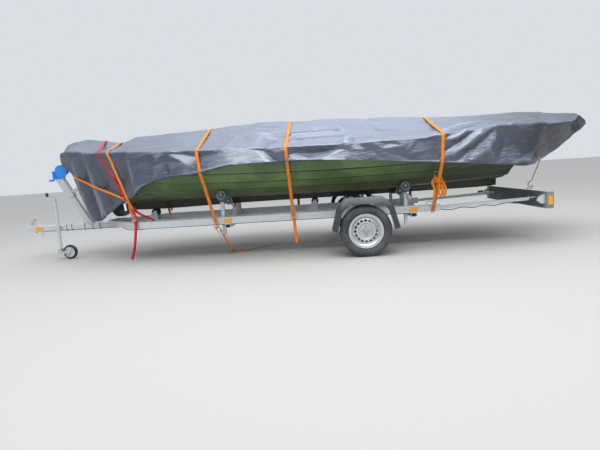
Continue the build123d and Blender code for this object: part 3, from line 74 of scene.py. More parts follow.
CAMERA_AT, LENS_MM, SENSOR_MM = (0.3537, -5.3249, 0.9471), 25.294, 36
YAW, PITCH, ROLL = 0.0568, 0.1292, 0.0669
ahead = Vector((-math.sin(YAW) * math.cos(PITCH), math.cos(YAW) * math.cos(PITCH), -math.sin(PITCH)))
level = Vector((math.cos(YAW), math.sin(YAW), 0))
upright = level.cross(ahead)
right = math.cos(ROLL) * level - math.sin(ROLL) * upright
above = math.cos(ROLL) * upright + math.sin(ROLL) * level
camera_data = bpy.data.cameras.new("camera")
camera_data.sensor_width, camera_data.lens = SENSOR_MM, LENS_MM
camera = bpy.data.objects.new("camera", camera_data)
turned = Matrix((right, above, -ahead)).transposed().to_4x4()
camera.matrix_world = Matrix.Translation(CAMERA_AT) @ turned
scene.collection.objects.link(camera)
scene.camera = camera

# Hull, seven lapped planks a side moulded in glass fibre, glossy green once and now chalky, with
# a worn lower plank, painted shade darkening the bottom to near black and a painted shadow along
# each lap.


class Wire:
    """An output socket that can be used in sums."""

    def __init__(self, paint, socket):
        self.paint, self.socket = paint, socket

    def __add__(self, other):
        return self.paint.maths("ADD", self, other)

    def __sub__(self, other):
        return self.paint.maths("SUBTRACT", self, other)

    def __rsub__(self, other):
        return self.paint.maths("SUBTRACT", other, self)

    def __mul__(self, other):
        return self.paint.maths("MULTIPLY", self, other)

    __radd__, __rmul__ = __add__, __mul__


class Paint:
    """One finish: its nodes, ending in a Principled shader."""

    def __init__(self, name):
        self.material = bpy.data.materials.new(name)
        self.material.use_nodes = True
        self.tree = self.material.node_tree
        self.shader = self.tree.nodes["Principled BSDF"]
        self.place = self.node("ShaderNodeTexCoord", {}, {}, "Object")

    def node(self, kind, settings, values, out=0):
        made = self.tree.nodes.new(kind)
        for key, value in settings.items():
            setattr(made, key, value)
        self.feed(made, values)
        return Wire(self, made.outputs[out])

    def feed(self, made, values):
        for key, value in values.items():
            socket = made.inputs[key]
            if isinstance(value, Wire):
                self.tree.links.new(value.socket, socket)
            else:
                socket.default_value = (*value, 1) if socket.type == "RGBA" else value

    def maths(self, operation, a, b=0.0):
        return self.node("ShaderNodeMath", {"operation": operation}, {0: a, 1: b})

    def noise(self, scale, detail=4.0, rough=0.55, place=None):
        values = {"Vector": place or self.place, "Scale": scale, "Detail": detail, "Roughness": rough}
        return self.node("ShaderNodeTexNoise", {}, values, "Fac")

    def stretched(self, scale):
        return self.node("ShaderNodeVectorMath", {"operation": "MULTIPLY"}, {0: self.place, 1: scale}, "Vector")

    def part(self, axis, place=None):
        return self.node("ShaderNodeSeparateXYZ", {}, {0: place or self.place}, axis)

    def attribute(self, name):
        return self.node("ShaderNodeAttribute", {"attribute_name": name}, {}, "Fac")

    def between(self, value, low, high):
        """0 at low and beyond it, 1 at high and beyond."""
        values = {"Value": value, "From Min": low, "From Max": high}
        return self.node("ShaderNodeMapRange", {"interpolation_type": "SMOOTHSTEP"}, values, "Result")

    def patches(self, scale, detail, rough, low, high):
        """Noise that is 0 below low and 1 above high."""
        return self.between(self.noise(scale, detail, rough), low, high)

    def mix(self, share, first, second):
        return self.node("ShaderNodeMix", {"data_type": "RGBA"}, {0: share, 6: first, 7: second}, 2)

    def bump(self, height, distance, strength, under=None):
        values = {"Height": height, "Distance": distance, "Strength": strength}
        if under:
            values["Normal"] = under
        return self.node("ShaderNodeBump", {}, values, "Normal")

    def finish(self, **values):
        self.feed(self.shader, {key.replace("_", " "): value for key, value in values.items()})
        return self.material


green = Paint("aged_green_gelcoat")
height = green.part("Z")
blotches = green.noise(2.2, 6.0, 0.62)
streaks = green.noise(4.0, 5.0, 0.6, green.stretched((1.6, 1.6, 0.25)))
scuffs = green.noise(30.0, 3.0, 0.6, green.stretched((0.25, 1.0, 2.0)))
bare = green.mix(green.between(blotches, 0.42, 0.62), (0.082, 0.158, 0.048), (0.150, 0.250, 0.088))
up_plank = green.attribute("up_plank")
# Painted shadow along the top of each plank, under the lap of the plank above.
shadow = green.between(up_plank, 0.76, 0.92)
worn_edge = green.between(up_plank, 0.14, 0.04)
olive = green.mix(green.between(streaks, 0.4, 0.7), (0.090, 0.098, 0.046), (0.135, 0.145, 0.068))
low = green.between(height + streaks * 0.05, 0.84, 0.76)
astern = green.between(green.part("X"), 0.50, 1.90)
# Painted shade: the bottom of the hull near black, up to a line that drops a little towards the stern.
painted_underside_shade = green.between(height + blotches * 0.03 + astern * 0.05, 0.692, 0.672)
chalk = green.between(scuffs, 0.62, 0.74) * 0.25
colour = green.mix(low * 0.85, bare, olive)
colour = green.mix(chalk, colour, (0.16, 0.20, 0.15))
colour = green.mix(green.between(green.part("X") + blotches * 0.4, 1.00, 2.20) * 0.85, colour, (0.030, 0.034, 0.018))
colour = green.mix(worn_edge * 0.22, colour, (0.24, 0.32, 0.14))
colour = green.mix(shadow * 0.92, colour, (0.012, 0.018, 0.010))
colour = green.mix(painted_underside_shade, colour, (0.014, 0.015, 0.013))
hull_green = green.finish(
    Base_Color=colour,
    Roughness=0.30 + streaks * 0.22 + low * 0.15,
    Normal=green.bump(blotches * 0.6 + scuffs * 0.15, 0.004, 0.5),
    Coat_Weight=0.25,
)


def finish_nodes(material, *names):
    """Gives CAD nodes a finish."""
    for name in names:
        nodes[name].data.materials.clear()
        nodes[name].data.materials.append(material)


def mark_planks(data, window=0.16):
    """Gives each vertex of the hull 0 at the lower edge of its plank and 1 at the upper one."""
    home = list(range(len(data.vertices)))

    def root(i):
        while home[i] != i:
            home[i] = home[home[i]]
            i = home[i]
        return i

    for face in data.polygons:
        for i in face.vertices[1:]:
            home[root(i)] = root(face.vertices[0])
    planks = {}
    for vertex in data.vertices:
        planks.setdefault(root(vertex.index), []).append((vertex.index, vertex.co.x, vertex.co.z + abs(vertex.co.y)))
    layer = data.attributes.new("up_plank", "FLOAT", "POINT")
    for plank in planks.values():
        plank = np.array(plank)
        for i, station, rise in plank:
            near = plank[np.abs(plank[:, 1] - station) < window, 2]
            layer.data[int(i)].value = (rise - near.min()) / max(near.max() - near.min(), 0.05)


mark_planks(nodes["hull"].data)
finish_nodes(hull_green, "hull")

# Outboard motor, tilted up under the cover: black moulded cowl, black painted leg, bracket and
# propeller of cast alloy.

cowl = Paint("black_cowl")
cowl_wear = cowl.noise(5.0, 6.0, 0.6)
cowl.finish(
    Base_Color=cowl.mix(cowl.between(cowl_wear, 0.4, 0.8), (0.012, 0.013, 0.015), (0.035, 0.037, 0.04)),
    Roughness=0.25 + cowl_wear * 0.25, Coat_Weight=0.4,
)
casting = Paint("painted_casting")
chips = casting.patches(40.0, 4.0, 0.6, 0.66, 0.70)
casting.finish(
    Base_Color=casting.mix(chips, (0.022, 0.024, 0.027), (0.45, 0.46, 0.47)),
    Metallic=chips * 0.9, Roughness=0.38 + casting.noise(12.0) * 0.2,
    Normal=casting.bump(casting.noise(120.0, 3.0), 0.0008, 0.5),
)
finish_nodes(cowl.material, "outboard_engine")
finish_nodes(casting.material, "outboard_leg", "outboard_clamp", "propeller")

# Tarpaulin, one sheet of coated cloth thrown over the whole boat. It rises to a ridge along the
# middle, breaks over the gunwales and hangs in flaps, and the straps draw it into sharp folds.

# Columns: station, ridge height, half breadth and height at the gunwale, half breadth and height
# at the hem, all in metres.
COVER = np.array((
    (-2.930, 1.275, 0.060, 1.235, 0.052, 1.205),
    (-2.895, 1.385, 0.120, 1.325, 0.090, 1.200),
    (-2.835, 1.450, 0.190, 1.344, 0.125, 1.140),
    (-2.750, 1.486, 0.250, 1.345, 0.160, 1.100),
    (-2.670, 1.495, 0.300, 1.341, 0.180, 0.990),
    (-2.640, 1.498, 0.320, 1.339, 0.190, 0.830),
    (-2.560, 1.504, 0.365, 1.335, 0.220, 0.665),
    (-2.470, 1.496, 0.425, 1.328, 0.280, 0.492),
    (-2.350, 1.480, 0.500, 1.316, 0.330, 0.490),
    (-2.190, 1.445, 0.575, 1.302, 0.390, 0.590),
    (-2.110, 1.440, 0.600, 1.297, 0.430, 0.635),
    (-1.960, 1.497, 0.650, 1.289, 0.500, 0.710),
    (-1.730, 1.506, 0.710, 1.274, 0.640, 0.785),
    (-1.620, 1.509, 0.732, 1.268, 0.715, 0.868),
    (-1.460, 1.513, 0.760, 1.258, 0.758, 0.926),
    (-1.290, 1.521, 0.786, 1.250, 0.786, 0.966),
    (-0.990, 1.537, 0.822, 1.229, 0.822, 0.975),
    (-0.830, 1.547, 0.848, 1.230, 0.848, 1.005),
    (-0.610, 1.560, 0.868, 1.225, 0.868, 1.042),
    (-0.380, 1.582, 0.882, 1.212, 0.882, 1.050),
    (0.030, 1.558, 0.893, 1.202, 0.893, 1.050),
    (0.510, 1.557, 0.900, 1.190, 0.900, 1.028),
    (0.870, 1.532, 0.903, 1.192, 0.903, 1.000),
    (1.360, 1.507, 0.890, 1.200, 0.890, 0.955),
    (1.720, 1.482, 0.862, 1.225, 0.862, 0.915),
    (2.190, 1.472, 0.815, 1.275, 0.815, 0.865),
    (2.480, 1.470, 0.785, 1.280, 0.790, 0.838),
    (2.610, 1.470, 0.745, 1.275, 0.690, 0.850),
    (2.840, 1.463, 0.560, 1.270, 0.420, 0.905),
    (3.190, 1.428, 0.330, 1.290, 0.200, 1.060),
    (3.330, 1.418, 0.190, 1.320, 0.130, 1.145),
    (3.440, 1.400, 0.060, 1.380, 0.110, 1.210),
    (3.535, 1.325, 0.020, 1.312, 0.030, 1.270),
))
# Folds of the port side, each a line of points: the station, the place on the cloth (0 at the
# ridge, 1 at the gunwale, 2 at the hem) and millimetres outwards. Between them the cloth is flat.
FOLDS = (
    ((-2.79, 1.06, 4), (-2.75, 1.50, 8), (-2.72, 1.98, 4)),
    ((-2.65, 1.03, 14), (-2.59, 1.38, 34), (-2.52, 1.76, 38), (-2.46, 2.00, 30)),
    ((-2.52, 1.08, -8), (-2.45, 1.45, -12), (-2.37, 1.98, -4)), ((-2.62, 0.20, 14), (-2.64, 0.82, 12)),
    ((-2.38, 1.05, 8), (-2.32, 1.38, 28), (-2.28, 1.74, 36), (-2.26, 2.00, 34)),
    ((-2.22, 1.08, -6), (-2.17, 1.48, -8), (-2.15, 2.00, -2)), ((-2.40, 0.15, -4), (-2.36, 0.85, -6)),
    ((-2.08, 1.06, 8), (-2.01, 1.44, 24), (-1.95, 1.94, 28)), ((-1.90, 1.10, -4), (-1.86, 1.60, 0)),
    ((-1.78, 1.06, 5), (-1.76, 1.29, 18), (-1.72, 1.60, 30), (-1.72, 2.00, 40)),
    ((-1.50, 1.07, 0), (-1.51, 1.30, -6), (-1.51, 1.96, 14)), ((-1.41, 1.24, 14),), ((-1.46, 1.49, 4),),
    ((-1.39, 1.69, 18),), ((-1.45, 1.85, 26),), ((-1.36, 1.39, 0),),
    ((-1.32, 1.12, 0), (-1.31, 1.42, 0), (-1.29, 1.69, 2), (-1.28, 1.96, 10)), ((-1.25, 1.74, 26),),
    ((-1.28, 1.14, 8), (-1.09, 1.46, 34), (-1.02, 1.62, 42), (-0.98, 1.97, 50)),
    ((-1.10, 1.16, -16), (-0.95, 1.26, -22), (-0.80, 1.20, -14)), ((-0.93, 1.78, 4),),
    ((-0.72, 1.24, 4), (-0.86, 1.91, 18)), ((-0.71, 1.14, 8), (-0.71, 1.58, 36), (-0.72, 1.95, 62)),
    ((-0.66, 1.05, 10), (-0.58, 1.56, 44), (-0.55, 2.00, 76)), ((-0.38, 1.65, 40),), ((-0.42, 2.00, 60),),
    ((-0.31, 1.15, 10), (-0.21, 1.77, 46), (-0.17, 2.00, 58)),
    ((-0.24, 1.23, -12), (-0.17, 1.66, 4), (-0.11, 2.00, 8)),
    ((-0.16, 1.15, 8), (-0.10, 1.46, 12), (-0.08, 2.00, 4)), ((0.02, 1.19, -4), (-0.01, 2.00, -6)),
    ((0.10, 1.46, -30), (0.26, 1.55, -40), (0.44, 1.42, -28)),
    ((0.03, 1.60, -12), (0.03, 2.00, 2)),
    ((0.09, 2.00, 8), (0.24, 1.98, 20), (0.42, 1.80, 26), (0.60, 1.36, 18)), ((0.38, 2.00, 44),),
    ((0.60, 2.00, 48),), ((0.63, 0.98, 12), (0.64, 1.41, 24), (0.68, 2.00, 36)),
    ((0.69, 1.34, 18), (0.82, 1.41, 6), (0.99, 1.41, 12)), ((0.83, 2.00, 20),), ((0.98, 2.00, 16),),
    ((0.88, 0.99, 4), (1.07, 1.19, -8), (1.09, 1.03, 0)),
    ((1.15, 1.04, -2), (1.21, 1.30, 8), (1.26, 1.71, 10), (1.31, 1.96, 8)),
    ((1.38, 1.13, -18), (1.54, 1.10, -14)), ((1.46, 1.54, -4),), ((1.48, 1.94, 6),),
    ((1.60, 1.05, 0), (1.56, 1.94, 0)), ((1.64, 1.10, -8), (1.70, 1.07, -18), (1.87, 0.91, -4)),
    ((1.64, 1.26, 8), (1.76, 1.16, 18), (1.86, 1.01, 10)),
    ((1.65, 1.57, -12), (1.77, 1.36, -14), (1.90, 1.13, -8)),
    ((1.59, 1.92, 12), (1.73, 1.67, 24), (1.88, 1.38, 26), (1.97, 1.20, 20), (2.08, 1.13, 12)),
    ((1.74, 1.94, 2), (1.88, 1.62, -8), (2.02, 1.37, -8), (2.12, 1.16, -2)),
    ((1.89, 1.93, 20), (1.98, 1.78, 28), (2.07, 1.61, 28), (2.15, 1.29, 16), (2.18, 1.03, 6)),
    ((2.18, 1.93, 10), (2.22, 1.63, 0), (2.21, 1.28, -2)), ((2.34, 1.94, 22),),
    ((2.25, 1.14, 0), (2.37, 1.47, -12), (2.44, 1.78, 2)),
    ((2.77, 1.36, 10), (2.58, 1.61, 26), (2.50, 1.86, 30)),
    ((2.37, 1.11, 8), (2.52, 1.18, 12), (2.70, 1.24, 12)),
    ((-0.68, 0.81, 0), (-0.55, 0.63, 16), (-0.43, 0.43, 14), (-0.38, 0.14, 10)),
    ((-0.32, 0.93, 6), (-0.27, 0.64, 20), (-0.34, 0.25, 14)),
    ((-0.29, 0.90, 4), (-0.19, 0.83, -8), (-0.04, 0.87, -4)),
    ((0.05, 0.35, 5), (0.31, 0.36, 6), (0.56, 0.39, 3)),
    ((0.05, 0.46, -6), (0.31, 0.46, -6), (0.58, 0.48, -3)),
    ((0.06, 0.57, 6), (0.30, 0.57, 7), (0.59, 0.59, 3)),
    ((0.06, 0.69, -6), (0.30, 0.68, -6), (0.60, 0.69, -3)),
    ((0.07, 0.80, 6), (0.30, 0.79, 7), (0.60, 0.79, 4)),
    ((0.48, 0.17, 4), (0.62, 0.48, 12), (0.81, 0.61, 6)),
    ((0.65, 0.86, 12), (0.73, 0.66, 4), (0.96, 0.52, 2)),
    ((0.71, 0.84, -6), (0.85, 0.78, -8), (1.14, 0.73, -5), (1.53, 0.81, -3)),
    ((0.94, 0.24, 5), (1.31, 0.26, 6), (1.63, 0.39, 3)),
    ((1.03, 0.44, -6), (1.32, 0.52, -6), (1.60, 0.71, -3)),
    ((1.68, 0.87, 8), (1.93, 0.63, 14), (2.24, 0.52, 8)), ((1.75, 0.88, -8), (2.03, 0.66, -6)),
    ((2.27, 0.77, 10), (2.46, 0.38, 2)), ((2.78, 0.16, 8),), ((2.92, 0.36, -8),), ((2.46, 0.60, -6),),
    ((3.08, 0.52, 4),),
)
RIM = [((x, place, 0),) for x in np.linspace(COVER[0, 0], COVER[-1, 0], 14) for place in (0, 0.999)]
RIM += [((COVER[end, 0], 2, 0),) for end in (0, -1)]
LENGTHS, BREADTHS = 330, 121
FLAT_ACROSS, FAR_SHIFT, CLEAR, DEPTH, ROOF_DEPTH = 0.32, 0.13, 0.007, 1.35, 2.3
ROOF_SAG, HEM_WAVE = 0.022, 0.004
# Columns: how many wrinkles, their length and their height.
WRINKLES = ((110, 0.34, 0.013), (250, 0.13, 0.0055), (300, 0.06, 0.0018))
# Where the girth straps press the flaps in, by what share, and half the breadth that gives way.
PRESSED_AT, PRESSED, PRESSED_HALF = (-0.950, 0.010, 1.615), 0.75, 0.09
stations = np.linspace(COVER[0, 0], COVER[-1, 0], LENGTHS)


def eased(at, column):
    """A column of COVER at stations, on a curve that runs smoothly through the rows."""
    x, y = COVER[:, 0], COVER[:, column]
    slope = np.gradient(y, x)
    i = np.clip(np.searchsorted(x, at) - 1, 0, len(x) - 2)
    h = x[i + 1] - x[i]
    t = (at - x[i]) / h
    straight = y[i] + (y[i + 1] - y[i]) * t
    curved = (
        (2 * t**3 - 3 * t**2 + 1) * y[i] + (t**3 - 2 * t**2 + t) * h * slope[i]
        + (3 * t**2 - 2 * t**3) * y[i + 1] + (t**3 - t**2) * h * slope[i + 1]
    )
    return 0.4 * curved + 0.6 * straight


def facets():
    """The folds as triangles of (station, place) with the height of each corner in metres."""
    points, heights, edges = [], [], []
    for line in (*FOLDS, *RIM):
        start = len(points)
        for station, place, out in line:
            points.append(Vector((station, place * FLAT_ACROSS)))
            heights.append(out / 1000 * (ROOF_DEPTH if place < 1 else DEPTH))
        edges += [(i, i + 1) for i in range(start, len(points) - 1)]
    verts, _, faces, came_from, _, _ = delaunay_2d_cdt(points, edges, [], 0, 1e-4)
    corners = np.array([tuple(v) for v in verts])
    given = np.array([tuple(p) for p in points])
    raised = []
    for corner, sources in zip(corners, came_from):
        near = 1 / (np.linalg.norm(given - corner, axis=1) + 1e-3) ** 2
        raised.append(heights[sources[0]] if sources else float((near * heights).sum() / near.sum()))
    return [(corners[list(face)], np.array(raised)[list(face)]) for face in faces]


FACETS = facets()


def folded(station, place):
    """Metres outwards at grids of station and place."""
    out = np.zeros(station.shape)
    q = np.stack([station, place * FLAT_ACROSS], axis=-1)
    for corners, heights in FACETS:
        (ax, ay), (bx, by), (cx, cy) = corners
        area = (bx - ax) * (cy - ay) - (cx - ax) * (by - ay)
        if abs(area) < 1e-9:
            continue
        b = ((q[..., 0] - ax) * (cy - ay) - (cx - ax) * (q[..., 1] - ay)) / area
        c = ((bx - ax) * (q[..., 1] - ay) - (q[..., 0] - ax) * (by - ay)) / area
        inside = (b >= -1e-6) & (c >= -1e-6) & (b + c <= 1 + 1e-6)
        out[inside] = (heights[0] + b * (heights[1] - heights[0]) + c * (heights[2] - heights[0]))[inside]
    return out


def facing(grid):
    """Outward unit normals of a grid of points."""
    along, over = np.gradient(grid, axis=0), np.gradient(grid, axis=1)
    normal = np.cross(along, over)
    return normal / np.maximum(np.linalg.norm(normal, axis=2, keepdims=True), 1e-9)


def blurred(grid, times):
    """A grid of numbers, evened out."""
    for _ in range(times):
        grid = np.pad(grid, 1, mode="edge")
        grid = (grid[1:-1, 1:-1] * 2 + grid[:-2, 1:-1] + grid[2:, 1:-1] + grid[1:-1, :-2] + grid[1:-1, 2:]) / 6
    return grid


ridge_z, fold_y, fold_z, hem_y, hem_z = (eased(stations, c)[:, None] for c in range(1, 6))
across = np.linspace(-2, 2, BREADTHS)[None, :]
place = np.repeat(np.abs(across), LENGTHS, axis=0)
roof = np.clip(place, 0, 1)
flap = np.clip(place - 1, 0, 1)
x = np.repeat(stations[:, None], BREADTHS, axis=1)
y = np.sign(across) * (fold_y * roof + (hem_y - fold_y) * flap)
z = ridge_z - (ridge_z - fold_z) * roof - (fold_z - hem_z) * flap - ROOF_SAG * np.sin(np.pi * roof)
cloth = np.stack([x, y, z], axis=2)
for _ in range(2):
    cloth[:, 1:-1] = 0.5 * cloth[:, 1:-1] + 0.25 * (cloth[:, :-2] + cloth[:, 2:])
push = np.where(across < 0, folded(x, place), folded(np.clip(x + FAR_SHIFT, stations[0], stations[-1]), place))
girth = np.cumsum(np.linalg.norm(np.diff(cloth, axis=1, prepend=cloth[:, :1]), axis=2), axis=1)
girth -= girth[:, BREADTHS // 2, None]
rng = np.random.default_rng(4)
for count, size, high in WRINKLES:
    for _ in range(count):
        at_x, at_girth = rng.uniform(-2.8, 3.4), rng.uniform(-1.6, 1.6)
        turn = rng.normal(0, 0.5) + (1.1 * rng.choice((-1, 1)) if abs(at_girth) > 0.85 else 0)
        du, dv = x - at_x, girth - at_girth
        u = du * math.cos(turn) + dv * math.sin(turn)
        v = dv * math.cos(turn) - du * math.sin(turn)
        push += high * rng.choice((-1, 1)) * np.exp(-((u / size) ** 2) - np.abs(v) / (size * 0.16))
push += HEM_WAVE * np.clip((place - 1.5) / 0.5, 0, 1) * (np.sin(x * 11.0) + 0.7 * np.sin(x * 27.0 + 1.0))
for station in PRESSED_AT:
    push -= PRESSED * np.clip(push, 0, 1) * np.exp(-(((x - station) / PRESSED_HALF) ** 2)) * (place > 1)
# The hollows of the folds, kept for the painted shade in them and the painted highlight on their ridges.
hollow = blurred(push, 14) - push
cloth += facing(cloth) * push[..., None]
# How far each face of the cloth turns up, kept for the painted light in its paint.
lean = facing(cloth)[..., 2] * np.sign(facing(cloth)[:, BREADTHS // 2, 2].sum())


def tree_of(shape):
    """What rays are cast at, for an object with its modifiers."""
    return BVHTree.FromObject(shape, bpy.context.evaluated_depsgraph_get())


def kept_outside(grid, solid):
    """Moves cloth points out of a solid, sideways or up, whichever is nearer."""
    tree = tree_of(nodes[solid])
    for point in grid.reshape(-1, 3):
        side = 1 if point[1] > 0 else -1
        beam = tree.ray_cast(Vector((point[0], 2 * side, point[2])), Vector((0, -side, 0)))[0]
        drop = tree.ray_cast(Vector((point[0], point[1], 3)), Vector((0, 0, -1)))[0]
        if beam is None or drop is None:
            continue
        sideways, up = abs(beam.y) + CLEAR - abs(point[1]), drop.z + CLEAR - point[2]
        if sideways > 0 and up > 0:
            if sideways < up:
                point[1] += side * sideways
            else:
                point[2] += up


for solid in ("hull", "outboard_engine", "outboard_clamp", "outboard_leg"):
    kept_outside(cloth, solid)


def new_piece(name, mesh, body, material, smooth=True):
    """Makes a bmesh an object that rides on a body."""
    data = bpy.data.meshes.new(name)
    mesh.to_mesh(data)
    mesh.free()
    if smooth:
        data.shade_smooth()
    made = bpy.data.objects.new(name, data)
    scene.collection.objects.link(made)
    data.materials.append(material)
    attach(made, body)
    return made


FIXED = "boat_and_trailer"

coated = Paint("coated_cloth")
long_creases = coated.noise(3.4, 5.0, 0.62, coated.stretched((0.35, 2.4, 2.4)))
small_creases = coated.noise(9.0, 3.0, 0.5, coated.stretched((0.8, 1.3, 1.3)))
dust = coated.patches(1.7, 4.0, 0.55, 0.42, 0.72)
weave = coated.noise(260.0, 2.0)
# Painted shade in the hollows of the folds and a painted highlight on their ridges.
painted_fold_shade = coated.between(coated.attribute("hollow"), 0.000, 0.016)
painted_ridge_highlight = coated.between(coated.attribute("hollow"), -0.002, -0.014)
# Painted light: faces of the cloth turned up lighter, faces turned down darker, from the lean mark.
painted_upward_light = coated.between(coated.attribute("lean") + (long_creases - 0.5) * 0.2, -0.10, 0.62)
seam = coated.attribute("from_hem")
stitched = coated.between(seam, 0.034, 0.040) * coated.between(seam, 0.050, 0.044)
along = coated.part("X") + (long_creases - 0.5) * 0.4
# Painted shade: the cover darker towards both ends and lightest in the middle.
painted_light_midships = coated.between(along, -2.2, 0.7) * coated.between(along, 2.75, 1.4)
tone = coated.mix(painted_upward_light * (painted_light_midships * 0.80 + 0.20), (0.062, 0.075, 0.112), (0.165, 0.198, 0.275))
tone = coated.mix(dust * 0.2, tone, (0.22, 0.26, 0.34))
# Painted shade over the stern end of the cover, weaker on faces turned up.
tone = coated.mix(coated.between(along, 1.95, 2.75) * (painted_upward_light * -0.40 + 0.85), tone, (0.016, 0.018, 0.030))
tone = coated.mix(painted_ridge_highlight * 0.35, tone, (0.42, 0.48, 0.60))
tone = coated.mix(painted_fold_shade * 0.65, tone, (0.026, 0.032, 0.054))
fine = coated.bump(small_creases, 0.006, 0.8, coated.bump(weave, 0.0006, 0.4))
coated.finish(
    Base_Color=coated.mix(stitched * 0.5, tone, (0.08, 0.09, 0.13)),
    Roughness=0.22 + dust * 0.10 + small_creases * 0.06,
    Normal=coated.bump(long_creases, 0.03, 0.7, fine),
    Specular_IOR_Level=1.0,
)

mesh = bmesh.new()
bmesh.ops.create_grid(mesh, x_segments=BREADTHS - 1, y_segments=LENGTHS - 1, size=1)
mesh.verts.ensure_lookup_table()
layers = [mesh.verts.layers.float.new(name) for name in ("hollow", "lean", "from_hem")]
hem_distance = np.where(place > 1, (2 - place) * np.hypot(fold_z - hem_z, fold_y - hem_y), 1)
marks = zip(hollow.ravel(), lean.ravel(), hem_distance.ravel())
for vertex, goal, values in zip(mesh.verts, cloth.reshape(-1, 3), marks):
    vertex.co = goal
    for layer, value in zip(layers, values):
        vertex[layer] = value
bmesh.ops.recalc_face_normals(mesh, faces=mesh.faces)
if sum(face.normal.z for face in mesh.faces) < 0:
    bmesh.ops.reverse_faces(mesh, faces=mesh.faces)
cover = new_piece("tarpaulin_cloth", mesh, FIXED, coated.material)
CLOTH_T = 0.0016
thickness = cover.modifiers.new("thickness", "SOLIDIFY")
thickness.thickness, thickness.offset = CLOTH_T, -1
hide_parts("tarpaulin")

# Straps, bands of orange and red polyester webbing drawn tight: three girth straps hooked under
# the side rails, two over the bow and one round it, with their loose tails. Each follows the cloth
# where it stands proud and spans the rest.


def webbing_paint(name, light, dark):
    """Woven band: ribs along it, darker edges, dirt."""
    woven = Paint(name)
    band = woven.node("ShaderNodeUVMap", {"uv_map": "strap"}, {}, "UV")
    u, v = woven.part("X", band), woven.part("Y", band)
    ribs = woven.maths("SINE", u * 190.0)
    picks = woven.maths("SINE", v * 2600.0)
    edge = woven.between(woven.maths("ABSOLUTE", u - 0.5), 0.40, 0.47)
    dirt = woven.patches(9.0, 5.0, 0.6, 0.5, 0.8)
    worn = woven.mix(dirt * 0.5, light, dark)
    woven.finish(
        Base_Color=woven.mix(edge * 0.35 + picks * 0.06 + 0.05, worn, dark),
        Roughness=0.62 + dirt * 0.2,
        Normal=woven.bump(ribs + picks * 0.5, 0.0005, 0.6),
    )
    return woven.material


orange_webbing = webbing_paint("orange_webbing", (0.93, 0.265, 0.010), (0.46, 0.11, 0.008))
red_webbing = webbing_paint("red_webbing", (0.60, 0.018, 0.045), (0.26, 0.008, 0.02))


def swept(mesh, sections, closed=False):
    """Adds to a bmesh a skin through rows of points, each row extruded from the one before it."""
    row = [mesh.verts.new(point) for point in sections[0]]
    rows = [row]
    pairs = [(i, i + 1) for i in range(len(row) - 1)] + ([(len(row) - 1, 0)] if closed else [])
    rungs = [mesh.edges.new((row[a], row[b])) for a, b in pairs]
    for goals in sections[1:]:
        made = bmesh.ops.extrude_edge_only(mesh, edges=rungs)["geom"]
        fresh = [part for part in made if isinstance(part, bmesh.types.BMVert)]
        row = [min(fresh, key=lambda vertex: (vertex.co - old.co).length) for old in rows[-1]]
        rungs = [mesh.edges.get((row[a], row[b])) for a, b in pairs]
        for vertex, goal in zip(row, goals):
            vertex.co = goal
        rows.append(row)
    return rows


def webbing(name, line, outwards, width, material, thick=0.0018):
    """A flat band along a line of points, its face turned to the outward direction of each."""
    mesh = bmesh.new()
    sections, lengths = [], [0.0]
    for i, point in enumerate(line):
        before, after = line[max(i - 1, 0)], line[min(i + 1, len(line) - 1)]
        side = (after - before).cross(outwards[i]).normalized()
        sections.append([point + side * width * u for u in (-0.5, 0.0, 0.5)])
        lengths.append(lengths[-1] + (after - point).length)
    spans = {}
    for row, length in zip(swept(mesh, sections), lengths):
        for vertex, u in zip(row, (0.0, 0.5, 1.0)):
            spans[vertex] = (u, length)
    strap_map = mesh.loops.layers.uv.new("strap")
    for face in mesh.faces:
        for loop in face.loops:
            loop[strap_map].uv = spans[loop.vert]
    mesh.normal_update()
    mesh.faces.ensure_lookup_table()
    if mesh.faces[0].normal.dot(outwards[0]) < 0:
        bmesh.ops.reverse_faces(mesh, faces=mesh.faces)
    band = new_piece(name, mesh, FIXED, material)
    cut = band.modifiers.new("thickness", "SOLIDIFY")
    cut.thickness, cut.offset = thick, 1
    return band


def smooth_line(points, step=0.03):
    """Points at even steps along a smooth curve through the given ones."""
    path = np.array(points, float)
    run = np.concatenate([[0], np.cumsum(np.linalg.norm(np.diff(path, axis=0), axis=1))])
    slope = np.gradient(path, run, axis=0)
    out = []
    for t in np.linspace(0, run[-1], max(3, int(run[-1] / step))):
        i = min(max(np.searchsorted(run, t) - 1, 0), len(run) - 2)
        h = run[i + 1] - run[i]
        q = (t - run[i]) / h
        out.append(Vector(
            (2 * q**3 - 3 * q**2 + 1) * path[i] + (q**3 - 2 * q**2 + q) * h * slope[i]
            + (3 * q**2 - 2 * q**3) * path[i + 1] + (q**3 - q**2) * h * slope[i + 1]
        ))
    return out


def stepped(corners, step=0.03):
    """Points at short steps along straight runs between corners."""
    line = []
    corners = [corners[0]] + [b for a, b in zip(corners, corners[1:]) if (b - a).length > 0.001]
    for a, b in zip(corners, corners[1:]):
        count = max(1, round((b - a).length / step))
        line += [a.lerp(b, i / count) for i in range(count)]
    return line + [corners[-1]]


def turned_out(line, middle, flat):
    """Directions away from a middle, square to the line and to axis number flat."""
    out = []
    for i, point in enumerate(line):
        run = (line[min(i + 1, len(line) - 1)] - line[max(i - 1, 0)]).normalized()
        away = point - Vector(middle)
        away[flat] = 0
        out.append((away - run * away.dot(run)).normalized())
    return out


def turning(line, first, last):
    """Directions along a line that turn evenly from the first to the last."""
    first, last = Vector(first), Vector(last)
    return [first.lerp(last, i / (len(line) - 1)).normalized() for i in range(len(line))]


def tight(points):
    """Of points (a, b) sorted by a, those that a line pulled tight towards low b would touch."""
    chain = []
    for p in points:
        while len(chain) > 1:
            (ay, az), (by, bz) = chain[-2:]
            if (by - ay) * (p[1] - az) > (bz - az) * (p[0] - ay):
                break
            chain.pop()
        chain.append(p)
    return chain


